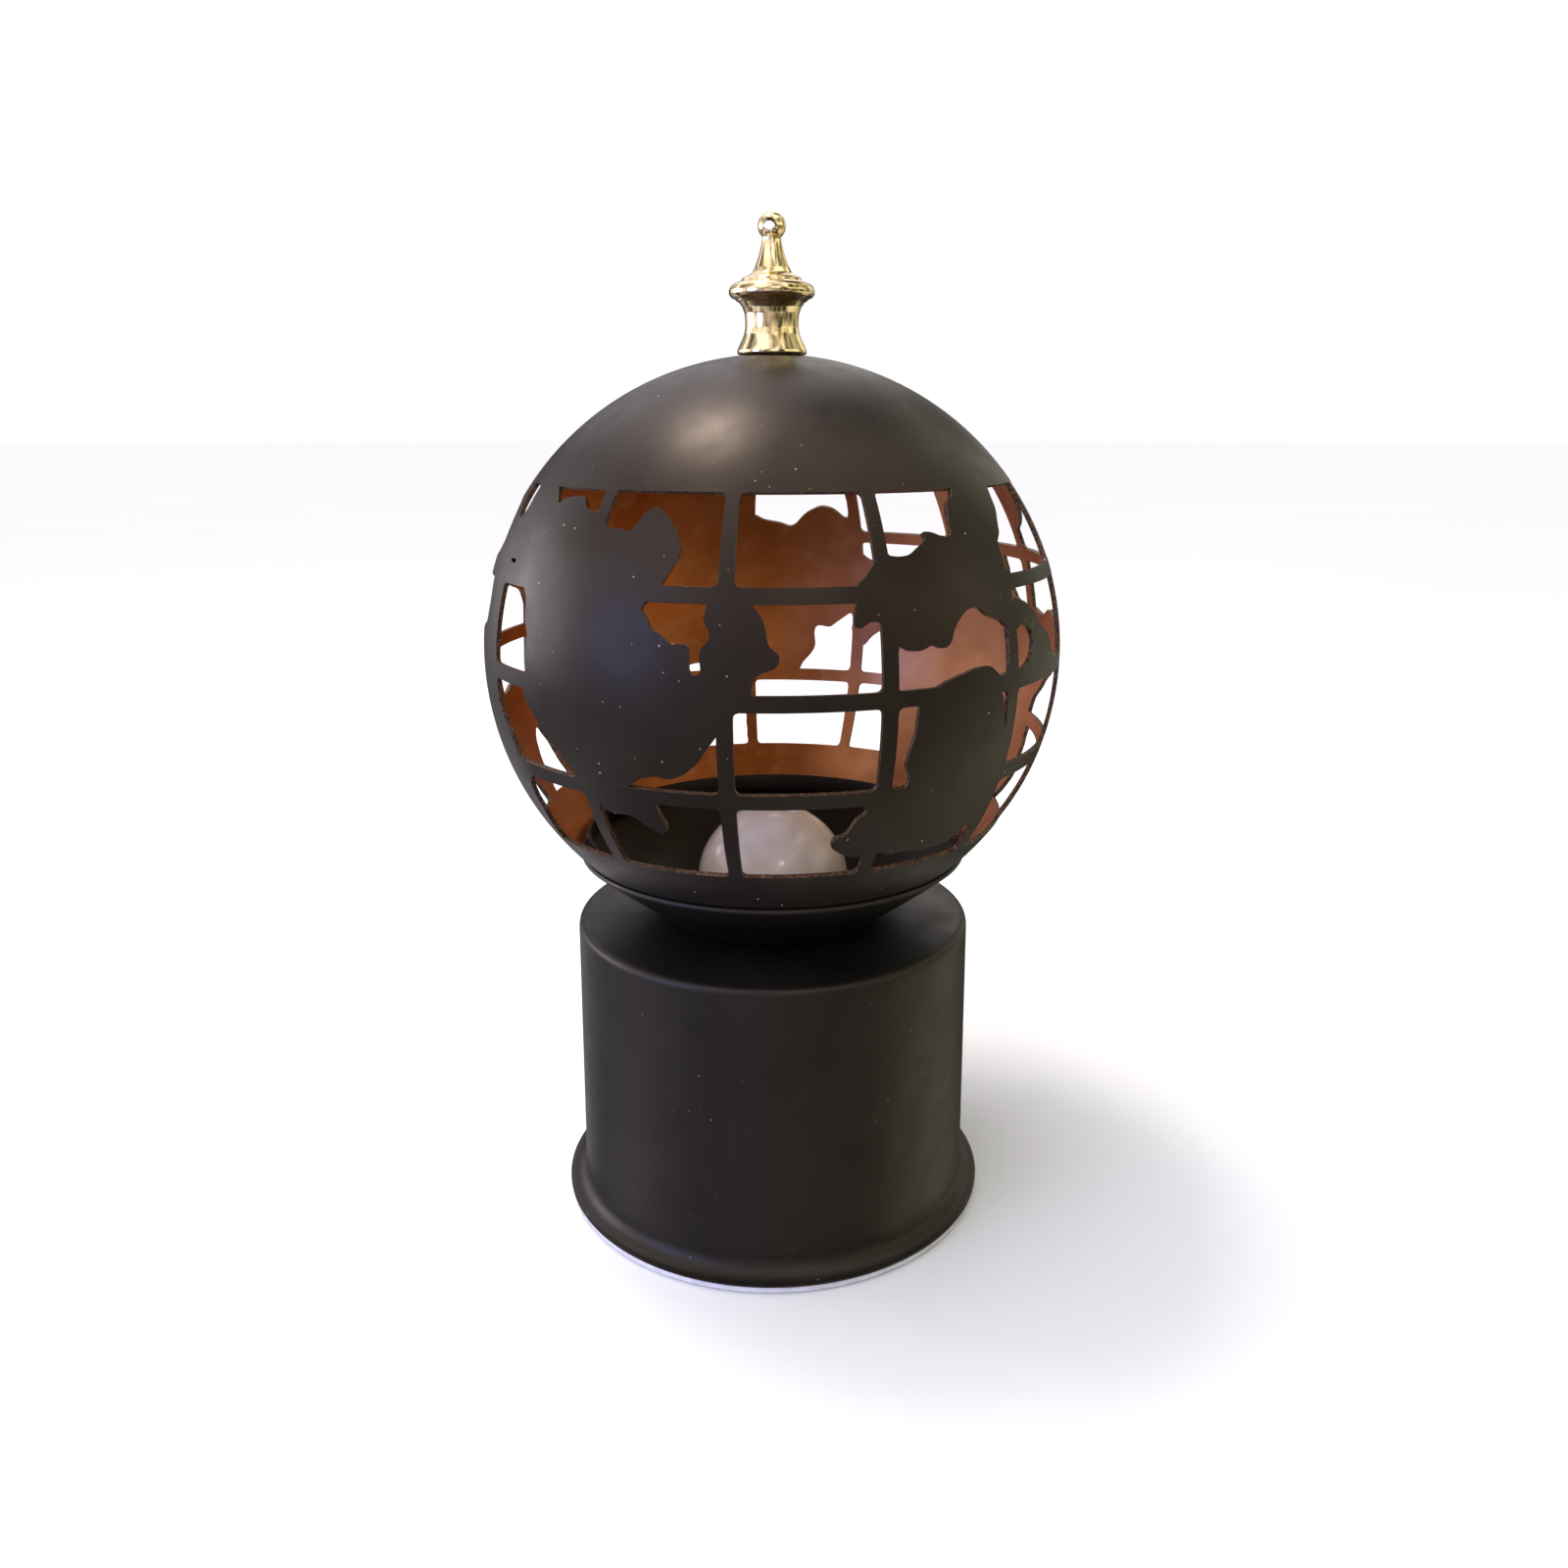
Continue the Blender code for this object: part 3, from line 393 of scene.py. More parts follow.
def lathe(name, section, steps, closed, centre=(0.0, 0.0)):
    """Turns a section round Z. An open one starts and ends on the axis."""
    bm = bmesh.new()
    rings = []
    for r, z in section:
        if r < 1e-7:
            rings.append([bm.verts.new((centre[0], centre[1], z))])
            continue
        around = []
        for i in range(steps):
            a = math.tau * i / steps
            around.append(bm.verts.new((centre[0] + r * math.cos(a),
                                        centre[1] + r * math.sin(a), z)))
        rings.append(around)
    pairs = list(zip(rings, rings[1:]))
    if closed:
        pairs.append((rings[-1], rings[0]))
    for low, high in pairs:
        for i in range(steps):
            j = (i + 1) % steps
            corners = [low[i % len(low)], low[j % len(low)],
                       high[j % len(high)], high[i % len(high)]]
            unique = list(dict.fromkeys(corners))
            if len(unique) > 2:
                bm.faces.new(unique)
    bmesh.ops.recalc_face_normals(bm, faces=bm.faces)
    mesh = bpy.data.meshes.new(name)
    bm.to_mesh(mesh)
    bm.free()
    return new_piece(name, mesh)


def smooth(obj, angle=34.0):
    obj.data.shade_smooth()
    obj.data.set_sharp_from_angle(angle=math.radians(angle))


def apply_modifiers(obj):
    bpy.context.view_layer.update()
    graph = bpy.context.evaluated_depsgraph_get()
    mesh = bpy.data.meshes.new_from_object(obj.evaluated_get(graph))
    obj.modifiers.clear()
    obj.data = mesh


def cut(obj, cutter):
    mod = obj.modifiers.new("Cut", "BOOLEAN")
    mod.operation = "DIFFERENCE"
    mod.object = cutter
    apply_modifiers(obj)
    bpy.data.objects.remove(cutter, do_unlink=True)


def block(name, low, high):
    bm = bmesh.new()
    size = [b - a for a, b in zip(low, high)]
    centre = [(a + b) / 2 for a, b in zip(low, high)]
    bmesh.ops.create_cube(bm, size=1.0,
                          matrix=Matrix.Translation(centre) @ Matrix.Diagonal((*size, 1.0)))
    mesh = bpy.data.meshes.new(name)
    bm.to_mesh(mesh)
    bm.free()
    return new_piece(name, mesh)


def take_place(obj, node):
    """Gives a fine piece its node's place in the frame: its body, and the CAD solid hidden."""
    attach(obj, BODY_OF[node])
    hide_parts(node)


def stands_for(obj, node, look):
    """Gives a fine piece of one material its look and its node's place."""
    obj.data.materials.clear()
    obj.data.materials.append(LOOKS[look])
    take_place(obj, node)


# ---------------------------------------------------------------- the globe's windows

# Each window: column, row, then its outline. NW, NE, SE and SW are the cell's own corners, and
# the other points are the coast, as (longitude, latitude). Columns run east from the meridian
# just left of the front.
NW, NE, SE, SW = "NW", "NE", "SE", "SW"
WINDOWS = (
    (0, 1, (NW, NE, (18.9, 22.8), (16.4, 20.2), (15.3, 18.9), SW)),
    (0, 2, ((-2.7, 16.2), (-0.8, 12.8), (-0.2, 10), (1.8, 7.8), (0.9, 5.6), (-2.4, 4.4),
            (-3.3, 2.2), (-2.8, 1.4), SE, (18.9, 12.8), (17.5, 13.3), (15.3, 11.9),
            (14, 13.3), (14.8, 16.2))),
    (0, 3, (NW, NE, SE, SW)),
    (0, 4, (NW, (15.3, -18.9), (18, -20), (15.9, -21.7), (14.2, -25), (12, -26.1),
            (11.8, -27.8), (14.8, -30), (18.9, -30.6), SE, SW)),
    (1, 1, (NW, (42, 35.5), (41, 34), (38.7, 32.8), (37.6, 30.8), (36.2, 26.6),
            (29.8, 27.8), (30.5, 26.7), (27.6, 24.7), (21.7, 24.1))),
    (1, 2, ((21.7, 8.9), (23, 8), (26, 7.8), (28, 8.7), (29.8, 8), (32, 8.3), (34.2, 12.2),
            (37.6, 13.9), (39.8, 13.9), (42, 12.2), (46.6, 10), (46.6, 2), (43.7, 1.7),
            (40.3, 3.9), (37.5, 3.5), (34.2, 3.1), (29.8, 1.7), (21.7, 1.6))),
    (1, 3, (NW, (25.9, -1.4), (25.3, -5.6), (24, -12.2), (25.3, -14.4), (24.2, -16.1), SW)),
    (1, 3, ((44.2, -1.4), NE, (46.6, -9.4), (45.6, -4.5))),
    (1, 4, ((21.7, -30.2), (24, -31), (28, -30.8), (33, -31.3), (39.8, -31.1),
            (42.6, -28.9), (45, -27.8), (46.6, -28.4), SE, SW)),
    (2, 1, ((55.5, 35.5), NE, SE, SW, (49.4, 24), (51, 26), (53, 29), (54.5, 32))),
    (2, 2, (NW, NE, SE, (67, 1.6), (64.5, 3), (63.8, 5.5), (59.5, 8.5), (57.5, 11),
            (55.5, 12.2), (52, 13.8), (49.5, 14.7))),
    (2, 2, ((49.4, 9), (53.5, 9.2), (55.2, 7), (55.2, 5.5), (54, 3.5), (51, 1.9),
            (49.4, 2.5))),
    (2, 3, (NW, NE, SE, SW)),
    (2, 4, (NW, NE, SE, SW)),
    (3, 1, (NW, (90, 35.5), (94, 30), (97, 26), (102, 23), SE, SW)),
    (3, 2, (NW, NE, (102, 6), (96, 5), (90, 7), (84, 4), (80, 1.4), SW)),
    (3, 3, (NW, (84, -1.4), (88, -5), (92, -8), (97, -13), (97, -16.1), SW)),
    (3, 4, (NW, (95, -18.9), (93, -24), (90, -29), (92, -35.3), SW)),
    (4, 1, (NW, (118, 35.5), (114, 30), (113, 26), (115, 22), (118, 18.9), SW)),
    (4, 2, (NW, (113, 16.2), (112, 10), (108, 6), (104.8, 4.8))),
    (5, 1, (NW, NE, SE, SW)),
    (5, 2, (NW, NE, (157.4, 13), (153, 10.8), (149, 10.6), (144, 12), (139, 14), (132.5, 15))),
    (5, 3, ((151.5, -6), (153.5, -6), (157.4, -9.5), SE, (147.5, -16.1), (149, -10))),
    (5, 4, ((146.5, -18.9), NE, SE, (145.5, -35.3), (146.8, -28))),
    (6, 1, (NW, NE, (185.1, 22.9), (181, 21.3), (175.5, 20), (173, 22.2), (170, 24.5),
            (166.6, 25.5), (163, 24), (160.2, 22.8))),
    (6, 3, ((160.2, -2.6), (164, -4), (166, -5.5), (169.5, -5.3), (170, -11), (173, -15),
            (173.5, -16.1), SW)),
    (6, 4, (NW, NE, SE, SW)),
    (7, 3, ((191, -16.1), (193, -14.8), (199, -14.2), (203, -14.6), (208, -13.5),
            (211, -16.1))),
    (7, 4, ((192, -18.9), (208, -18.9), (206, -22), (203, -25), (204, -30), (201, -35.3),
            SW, (187.9, -24), (190.5, -21))),
    (8, 2, ((218, 16.2), (236, 16.2), (238, 12), (234, 8), (230, 4), (226, 1.4),
            (220, 1.4), (217, 6), (216.5, 11))),
    (8, 4, ((222, -18.9), NE, SE, (228, -35.3), (226, -30), (223, -25))),
    (9, 1, ((255, 35.5), NE, (268.1, 24), (262, 22), (257, 27))),
    (9, 2, ((251.5, 1.4), (251.8, 6), (254, 9), (259, 10.5), (264, 12), (268.1, 12), SE)),
    (9, 3, ((251.5, -1.4), NE, (268.1, -11), (262, -10), (254.5, -10), (252.5, -7))),
    (9, 4, ((251.6, -35.3), (252.5, -27), (255, -21.5), (258, -22.5), (260, -26),
            (262, -31), (264, -35.3))),
    (10, 1, ((-71, 35.5), NE, (-64.2, 30), (-66.5, 28.5), (-69, 29.5), (-71, 33))),
    (10, 1, ((-89.1, 31), (-80, 32), (-74.5, 30), (-72.5, 26), (-72.8, 22.5),
             (-78, 19.6), SW)),
    (10, 2, (NW, (-70.5, 16.2), (-69.5, 12), (-70, 8.5), (-74, 6.5), (-80, 5),
             (-89.1, 4.5))),
    (10, 4, ((-89.1, -29), (-84, -28.7), (-81, -32), (-79.8, -35.3), SW)),
    (11, 1, ((-53.5, 35.5), NE, (-36.5, 31.2), (-37.2, 30.8), (-40, 31.5), (-43, 34),
             (-46, 33.5), (-48.5, 33.2), (-50, 31.8), (-51.5, 33))),
    (11, 1, ((-61.3, 20.6), (-59.8, 21.1), (-58, 20.3), (-59.6, 19.7))),
    (11, 2, (NW, (-52, 16.2), (-50.5, 14.5), (-49.7, 11.5), (-48.3, 8), (-48.2, 4),
             (-48.8, 1.4), SW)),
    (11, 3, (NW, (-49.3, -1.4), (-48.5, -4.5), (-46.3, -6.3), (-43, -9.5), (-40.5, -12.5),
             (-38.2, -15.2), (-38.6, -16.1), (-56.3, -16.1), (-57.3, -13), (-60.6, -8.2),
             (-61.4, -5.5))),
    (11, 4, ((-53, -18.9), NE, SE, (-58, -35.3), (-57.5, -31), (-56.5, -27.5),
             (-56.8, -24), (-56, -21.5))),
    (12, 1, (NW, NE, SE, (-19.1, 18.9), (-16.3, 23.9), (-17.4, 27.8), (-20.2, 31.1),
             (-22.4, 32.6), (-24.7, 31.7), (-25.8, 29.4), (-27.4, 27.8), (-30.2, 28.4),
             (-33.7, 28.9))),
    (12, 2, ((-21.3, 16.2), (-10.6, 16.2), (-11, 13.9), (-9.7, 10.5), (-11.3, 9),
             (-11.3, 4.9), (-13.2, 4.9), (-13.2, 9.2), (-16.3, 9.4), (-18.5, 11),
             (-20.8, 12.2), (-21.3, 13.9), (-22.4, 14.4))),
    (12, 3, ((-8.8, -5), SE, (-26.3, -16.1), (-23, -13.9), (-16.9, -13.6), (-14.1, -12.2),
             (-11.3, -9.1))),
    (12, 4, ((-33.7, -20.2), (-31.3, -22.2), (-26.9, -22.2), (-24.1, -23.9), (-21.3, -25.6),
             (-19.7, -24.4), (-20, -21.7), (-20.8, -18.9), NE, SE, SW)),
)


def cell_box(column, row):
    """West, east, south and north limits of one cell between the bars, in degrees."""
    west = FIRST_MERIDIAN + MERIDIAN_PITCH * column + BAR_HALF_WIDTH
    east = FIRST_MERIDIAN + MERIDIAN_PITCH * (column + 1) - BAR_HALF_WIDTH
    north, south = ROW_EDGES[row]
    return west, east, south, north


def same_side(a, b, box):
    """Whether two points lie on one side of their cell."""
    west, east, south, north = box
    for axis, value in ((0, west), (0, east), (1, south), (1, north)):
        if abs(a[axis] - value) < 1e-6 and abs(b[axis] - value) < 1e-6:
            return True
    return False


def coast_span(before, start, end, after, box, seed):
    """A smooth, slightly wavy run of coast from start up to end."""
    a, b, c, d = (Vector(p) for p in (before, start, end, after))
    count = max(2, round((c - b).length / OUTLINE_STEP))
    west, east, south, north = box
    points = []
    for k in range(count):
        t = k / count
        place = 0.5 * (2 * b + (c - a) * t + (2 * a - 5 * b + 4 * c - d) * t * t
                       + (3 * b - a - 3 * c + d) * t ** 3)
        swing = COAST_WIGGLE * math.sin(math.pi * t) ** 0.5 if k else 0.0
        spot = place * WIGGLES_PER_DEGREE
        east_sway = noise.noise(Vector((spot.x, spot.y, seed + EAST_LAYER)))
        north_sway = noise.noise(Vector((spot.x, spot.y, seed + NORTH_LAYER)))
        place = place + Vector((east_sway, north_sway)) * swing * 2.0
        points.append((min(max(place.x, west), east), min(max(place.y, south), north)))
    return points


def window_outline(column, row, outline, seed):
    """The window's edge as a fine closed chain in longitude and latitude."""
    box = cell_box(column, row)
    west, east, south, north = box
    turn = 360.0 if column >= 10 else 0.0
    corners = {NW: (west, north), NE: (east, north), SE: (east, south), SW: (west, south)}
    places = []
    for point in outline:
        is_corner = isinstance(point, str)
        lon, lat = corners[point] if is_corner else (point[0] + turn, point[1])
        places.append(((min(max(lon, west), east), min(max(lat, south), north)), is_corner))
    chain = []
    count = len(places)
    for i, (here, is_corner) in enumerate(places):
        before = places[i - 1][0]
        after, after_corner = places[(i + 1) % count]
        beyond = places[(i + 2) % count][0]
        start = Vector(here)
        if is_corner:
            way_in = (Vector(before) - start).normalized() * CORNER_RADIUS
            way_out = (Vector(after) - start).normalized() * CORNER_RADIUS
            for k in range(6):
                t = k / 5
                bend = start + way_in * (1 - t) ** 2 + way_out * t * t
                chain.append(tuple(bend))
            start = start + way_out
        end = Vector(after)
        if after_corner:
            end = end + (start - end).normalized() * CORNER_RADIUS
        if same_side(here, after, box):
            length = (end - start).length
            steps = max(1, round(length / GRID_STEP))
            first = 1 if is_corner else 0
            for k in range(first, steps):
                chain.append(tuple(start.lerp(end, k / steps)))
        else:
            bend_in = before if not same_side(before, here, box) else here
            bend_out = beyond if not same_side(after, beyond, box) else after
            run = coast_span(bend_in, tuple(start), tuple(end), bend_out, box, seed)
            chain.extend(run[1:] if is_corner else run)
    chain = without_near_doubles(chain)
    for _ in range(COAST_SOFTENING):
        chain = soften_coast(chain, box)
    return chain


def without_near_doubles(chain):
    """The closed chain without points that lie almost on the one before."""
    kept = []
    for point in chain:
        if not kept or (Vector(point) - Vector(kept[-1])).length > CLOSEST_POINTS:
            kept.append(point)
    if (Vector(kept[0]) - Vector(kept[-1])).length < CLOSEST_POINTS:
        kept.pop()
    return kept


def soften_coast(chain, box):
    """Draws each point of the open coast towards its neighbours. The cell's sides stay."""
    west, east, south, north = box
    result = []
    for i, (lon, lat) in enumerate(chain):
        margin = min(lon - west, east - lon, lat - south, north - lat)
        if margin < CORNER_RADIUS / 2:
            result.append((lon, lat))
            continue
        before = chain[i - 1]
        after = chain[(i + 1) % len(chain)]
        result.append(((before[0] + 2 * lon + after[0]) / 4, (before[1] + 2 * lat + after[1]) / 4))
    return result


def inside(x, y, polygon):
    """Whether a point lies in a closed polygon, by counting the sides to its right."""
    odd = False
    for (x1, y1), (x2, y2) in zip(polygon, polygon[1:] + polygon[:1]):
        if (y1 > y) != (y2 > y) and x < (x2 - x1) * (y - y1) / (y2 - y1) + x1:
            odd = not odd
    return odd


def in_a_window(lon, lat, windows):
    """Whether a place on the belt lies in one of the windows, which are listed by column."""
    column = int((lon - FIRST_MERIDIAN) / MERIDIAN_PITCH)
    return any(inside(lon, lat, polygon) for polygon in windows.get(column, ()))


def on_globe(lon, lat):
    """The point of the globe's outer surface at that place."""
    a = math.radians(lon)
    b = math.radians(lat)
    return Vector((GLOBE_RADIUS * math.sin(a) * math.cos(b),
                   -GLOBE_RADIUS * math.cos(a) * math.cos(b),
                   GLOBE_CENTRE_Z + GLOBE_RADIUS * math.sin(b)))


def land_triangles():
    """The pierced belt of the globe as flat triangles in longitude and latitude."""
    last = FIRST_MERIDIAN + 360.0
    belt = CAP_LATITUDE - RIM_LATITUDE
    rows = round(belt / GRID_STEP)
    points = []
    edges = []

    def chain(places):
        """Adds a closed line to the points and edges."""
        first = len(points)
        points.extend(places)
        edges.extend((first + i, first + i + 1) for i in range(len(places) - 1))
        edges.append((len(points) - 1, first))

    windows = {}
    for number, (column, row, outline) in enumerate(WINDOWS):
        polygon = window_outline(column, row, outline, float(number))
        windows.setdefault(column, []).append(polygon)
        chain(polygon)
    border = []
    for i in range(GRID_AROUND):
        border.append((FIRST_MERIDIAN + 360.0 * i / GRID_AROUND, RIM_LATITUDE))
    for i in range(rows):
        border.append((last, RIM_LATITUDE + belt * i / rows))
    for i in range(GRID_AROUND):
        border.append((last - 360.0 * i / GRID_AROUND, CAP_LATITUDE))
    for i in range(rows):
        border.append((FIRST_MERIDIAN, CAP_LATITUDE - belt * i / rows))
    chain(border)

    tree = kdtree.KDTree(len(points))
    for i, (x, y) in enumerate(points):
        tree.insert((x, y, 0.0), i)
    tree.balance()
    grid = []
    for j in range(1, rows):
        lat = RIM_LATITUDE + belt * j / rows
        stagger = 0.25 + 0.5 * (j % 2)
        for i in range(GRID_AROUND):
            lon = FIRST_MERIDIAN + (i + stagger) * 360.0 / GRID_AROUND
            crowded = tree.find((lon, lat, 0.0))[2] < 0.45 * GRID_STEP
            if not crowded and not in_a_window(lon, lat, windows):
                grid.append((lon, lat))
    points.extend(grid)
    places, _, faces, *_ = delaunay_2d_cdt([Vector(p) for p in points], edges, [], 0, 1e-5)
    triangles = []
    for face in faces:
        x = sum(places[i].x for i in face) / 3
        y = sum(places[i].y for i in face) / 3
        if not in_a_window(x, y, windows):
            triangles.append(face)
    return [(v.x, v.y) for v in places], triangles


def add_cap(bm):
    """The unpierced cap of the globe, from the windows up to the finial's hole."""
    top = 90.0 - math.degrees(STUD_HOLE_RADIUS / GLOBE_RADIUS)
    last_ring = None
    for k in range(CAP_RINGS + 1):
        lat = CAP_LATITUDE + (top - CAP_LATITUDE) * k / CAP_RINGS
        ring = [bm.verts.new(on_globe(FIRST_MERIDIAN + 360.0 * i / GRID_AROUND, lat))
                for i in range(GRID_AROUND)]
        if last_ring:
            for i in range(GRID_AROUND):
                j = (i + 1) % GRID_AROUND
                bm.faces.new((last_ring[i], last_ring[j], ring[j], ring[i]))
        last_ring = ring


def build_globe():
    """The pierced sheet: bronze outside, copper inside, cut edges with a bright arris."""
    flat, triangles = land_triangles()
    bm = bmesh.new()
    verts = [bm.verts.new(on_globe(lon, lat)) for lon, lat in flat]
    for face in triangles:
        bm.faces.new([verts[i] for i in face])
    add_cap(bm)
    bmesh.ops.remove_doubles(bm, verts=bm.verts, dist=1e-6)
    loose = [v for v in bm.verts if not v.link_faces]
    bmesh.ops.delete(bm, geom=loose, context="VERTS")
    bmesh.ops.recalc_face_normals(bm, faces=bm.faces)
    middle = Vector((0, 0, GLOBE_CENTRE_Z))
    sample = next(iter(bm.faces))
    if sample.normal.dot(sample.calc_center_median() - middle) < 0:
        bmesh.ops.reverse_faces(bm, faces=bm.faces)
    mesh = bpy.data.meshes.new("globe_sheet")
    bm.to_mesh(mesh)
    bm.free()
    globe = new_piece("globe_sheet", mesh)
    for key in ("bronze", "copper", "edge", "arris"):
        globe.data.materials.append(LOOKS[key])
    shell = globe.modifiers.new("Wall", "SOLIDIFY")
    shell.thickness = GLOBE_WALL
    shell.offset = -1.0
    shell.material_offset = 1
    shell.material_offset_rim = 2
    apply_modifiers(globe)
    edges = globe.modifiers.new("Edges", "BEVEL")
    edges.width = ARRIS_WIDTH
    edges.segments = 1
    edges.angle_limit = math.radians(60)
    edges.material = 3
    edges.use_clamp_overlap = True
    apply_modifiers(globe)
    smooth(globe, 30.0)
    take_place(globe, "globe_shell")


# ---------------------------------------------------------------- turned pieces

def build_finial():
    """Turned brass: a ball with an eye through it, a concave stem, a disc, a neck and a foot."""
    low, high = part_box("finial")
    top = high.z
    ball_radius = 3.9 * MM
    ball = arc(0.0, top - ball_radius, ball_radius, 90, -48, 20)
    foot = low.z / MM
    body = mm_points((2.75, 280.6), (3.1, 279.0), (3.6, 277.2), (4.15, 275.6), (4.9, 273.8),
                     (5.8, 272.4), (6.9, 271.6), (7.9, 271.3, 0.3), (8.4, 270.8, 0.3),
                     (8.5, 270.2, 0.15), (9.4, 270.05, 0.4), (10.6, 269.6, 1.0),
                     (11.5, 268.8, 1.0), (12.0, 267.7, 1.0), (11.95, 266.7, 0.8),
                     (11.4, 265.9, 0.8), (10.2, 265.3, 0.5), (9.7, 264.8, 0.15),
                     (9.2, 264.6, 0.3), (8.2, 263.2), (7.65, 261.6), (7.45, 259.6),
                     (7.5, 257.6), (7.8, 256.0), (8.3, 254.7), (8.9, 253.5), (9.4, 252.4),
                     (9.75, 251.6, 0.5), (9.8, 251.0, 0.25), (9.5, foot, 0.2),
                     (8.4, foot, 0.2), (8.3, 251.2, 0.2))
    bore = mm_points((2.2, 251.2, 0.0), (2.2, 262.0, 0.0), (0.0, 262.0))
    chain = [(r, z, 0.0) for r, z in ball]
    for point in body + bore:
        chain.append((*point[:2], point[2] if len(point) > 2 else 2.0 * MM))
    finial = lathe("finial_brass", rounded(chain, 0.0, 5), 128, closed=False)
    eye_radius = 1.65 * MM
    reach = 8 * MM
    eye = lathe("eye_cutter", [(0.0, -reach), (eye_radius, -reach), (eye_radius, reach),
                               (0.0, reach)], 48, closed=False)
    eye.matrix_world = (Matrix.Translation((-0.7 * MM, 0.0, 285.2 * MM))
                        @ Matrix.Rotation(math.radians(90), 4, "X"))
    cut(finial, eye)
    slit = block("slit_cutter", (-0.35 * MM, -5 * MM, 279.6 * MM),
                 (-0.05 * MM, -1.9 * MM, 283.8 * MM))
    cut(finial, slit)
    edges = finial.modifiers.new("Edges", "BEVEL")
    edges.width = 0.08 * MM
    edges.segments = 1
    edges.angle_limit = math.radians(50)
    apply_modifiers(finial)
    smooth(finial, 42.0)
    stands_for(finial, "finial", "brass")


def build_dish():
    """The dish under the globe, with the ledge on which the globe's rim rests."""
    chain = mm_points((55.3, 113.0, 0.0), (54.9, 110.4, 2.0), (54.8, 108.2, 0.5),
                      (56.9, 107.9, 0.5), (57.3, 107.0, 0.5), (55.9, 105.8, 1.5),
                      (45.0, 97.2, 0.0), (32.6, 88.1, 2.0), (29.5, 86.8, 2.0),
                      (23.3, 86.8, 0.0))
    dish = lathe("dish_skin", walled(rounded(chain, 0.0, 5), DISH_WALL, 0.3 * MM), 144,
                 closed=True)
    smooth(dish)
    stands_for(dish, "seat_dish", "black")


def build_drum():
    """The drum with its closed top, rounded shoulder and flared foot."""
    foot = arc(63.6 * MM, 8.0 * MM, 5.0 * MM, 180, 270, 14)
    chain = (mm_points((22.8, 86.5, 0.0), (58.6, 86.5, 2.5))
             + [(r, z, 0.0) for r, z in foot] + mm_points((63.57, 2.2, 0.0)))
    drum = lathe("drum_skin", walled(rounded(chain, 0.0, 8), DRUM_WALL, 0.25 * MM), 160,
                 closed=True)
    smooth(drum)
    stands_for(drum, "drum_shell", "black")


def build_foot_pad():
    section = mm_points((50.0, 1.9), (62.7, 1.9), (62.7, 0.0), (50.0, 0.0))
    pad = lathe("foot_pad_ring", rounded(section, 0.35 * MM, 3, closed=True), 128, closed=True)
    smooth(pad)
    stands_for(pad, "foot_pad", "pad")


def build_bulb():
    """The frosted envelope, the tapered collar under it and the screw cap."""
    glass = arc(0.0, BULB_CENTRE_Z, BULB_RADIUS, 90, BULB_NECK_ANGLE, 40)
    inner = arc(0.0, BULB_CENTRE_Z, BULB_RADIUS - BULB_WALL, BULB_NECK_ANGLE, 90, 40)
    bulb = lathe("bulb_envelope", glass + inner, 96, closed=False)
    smooth(bulb)
    stands_for(bulb, "bulb_glass", "opal")
    section = mm_points((0.0, 82.3), (18.4, 82.3, 0.3), (18.8, 81.5, 0.3), (16.6, 76.0, 2.0),
                        (11.6, 69.0, 2.0), (8.9, 64.6, 1.0), (8.9, 63.5, 0.3), (0.0, 63.5))
    collar = lathe("bulb_heat_collar", rounded(section, 0.0, 4), 96, closed=False)
    smooth(collar)
    stands_for(collar, "bulb_collar", "white_plastic")
    build_screw_cap()


def build_screw_cap():
    """The bulb's screw cap: a helical thread pressed into thin sheet."""
    low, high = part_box("bulb_screw_cap")
    thread_depth = 0.45 * MM
    thread_low = low.z + 1.8 * MM
    thread_high = high.z - 0.8 * MM
    steps = 48
    rows = 60
    bm = bmesh.new()
    rings = []
    for j in range(rows + 1):
        z = thread_low + (thread_high - thread_low) * j / rows
        ring = []
        for i in range(steps):
            a = math.tau * i / steps
            wave = 0.5 - 0.5 * math.cos(math.tau * (z / THREAD_PITCH - i / steps))
            r = high.x - thread_depth * wave
            ring.append(bm.verts.new((r * math.cos(a), r * math.sin(a), z)))
        rings.append(ring)
    for r, z in ((5.4 * MM, low.z), (3.6 * MM, low.z)):
        rings.insert(0, [bm.verts.new((r * math.cos(math.tau * i / steps),
                                       r * math.sin(math.tau * i / steps), z))
                         for i in range(steps)])
    for lower, upper in zip(rings, rings[1:]):
        for i in range(steps):
            j = (i + 1) % steps
            bm.faces.new((lower[i], lower[j], upper[j], upper[i]))
    mesh = bpy.data.meshes.new("cap_thread")
    bm.to_mesh(mesh)
    bm.free()
    cap = new_piece("cap_thread", mesh)
    shell = cap.modifiers.new("Wall", "SOLIDIFY")
    shell.thickness = 0.3 * MM
    shell.offset = -1.0
    apply_modifiers(cap)
    smooth(cap, 50.0)
    stands_for(cap, "bulb_screw_cap", "nickel")


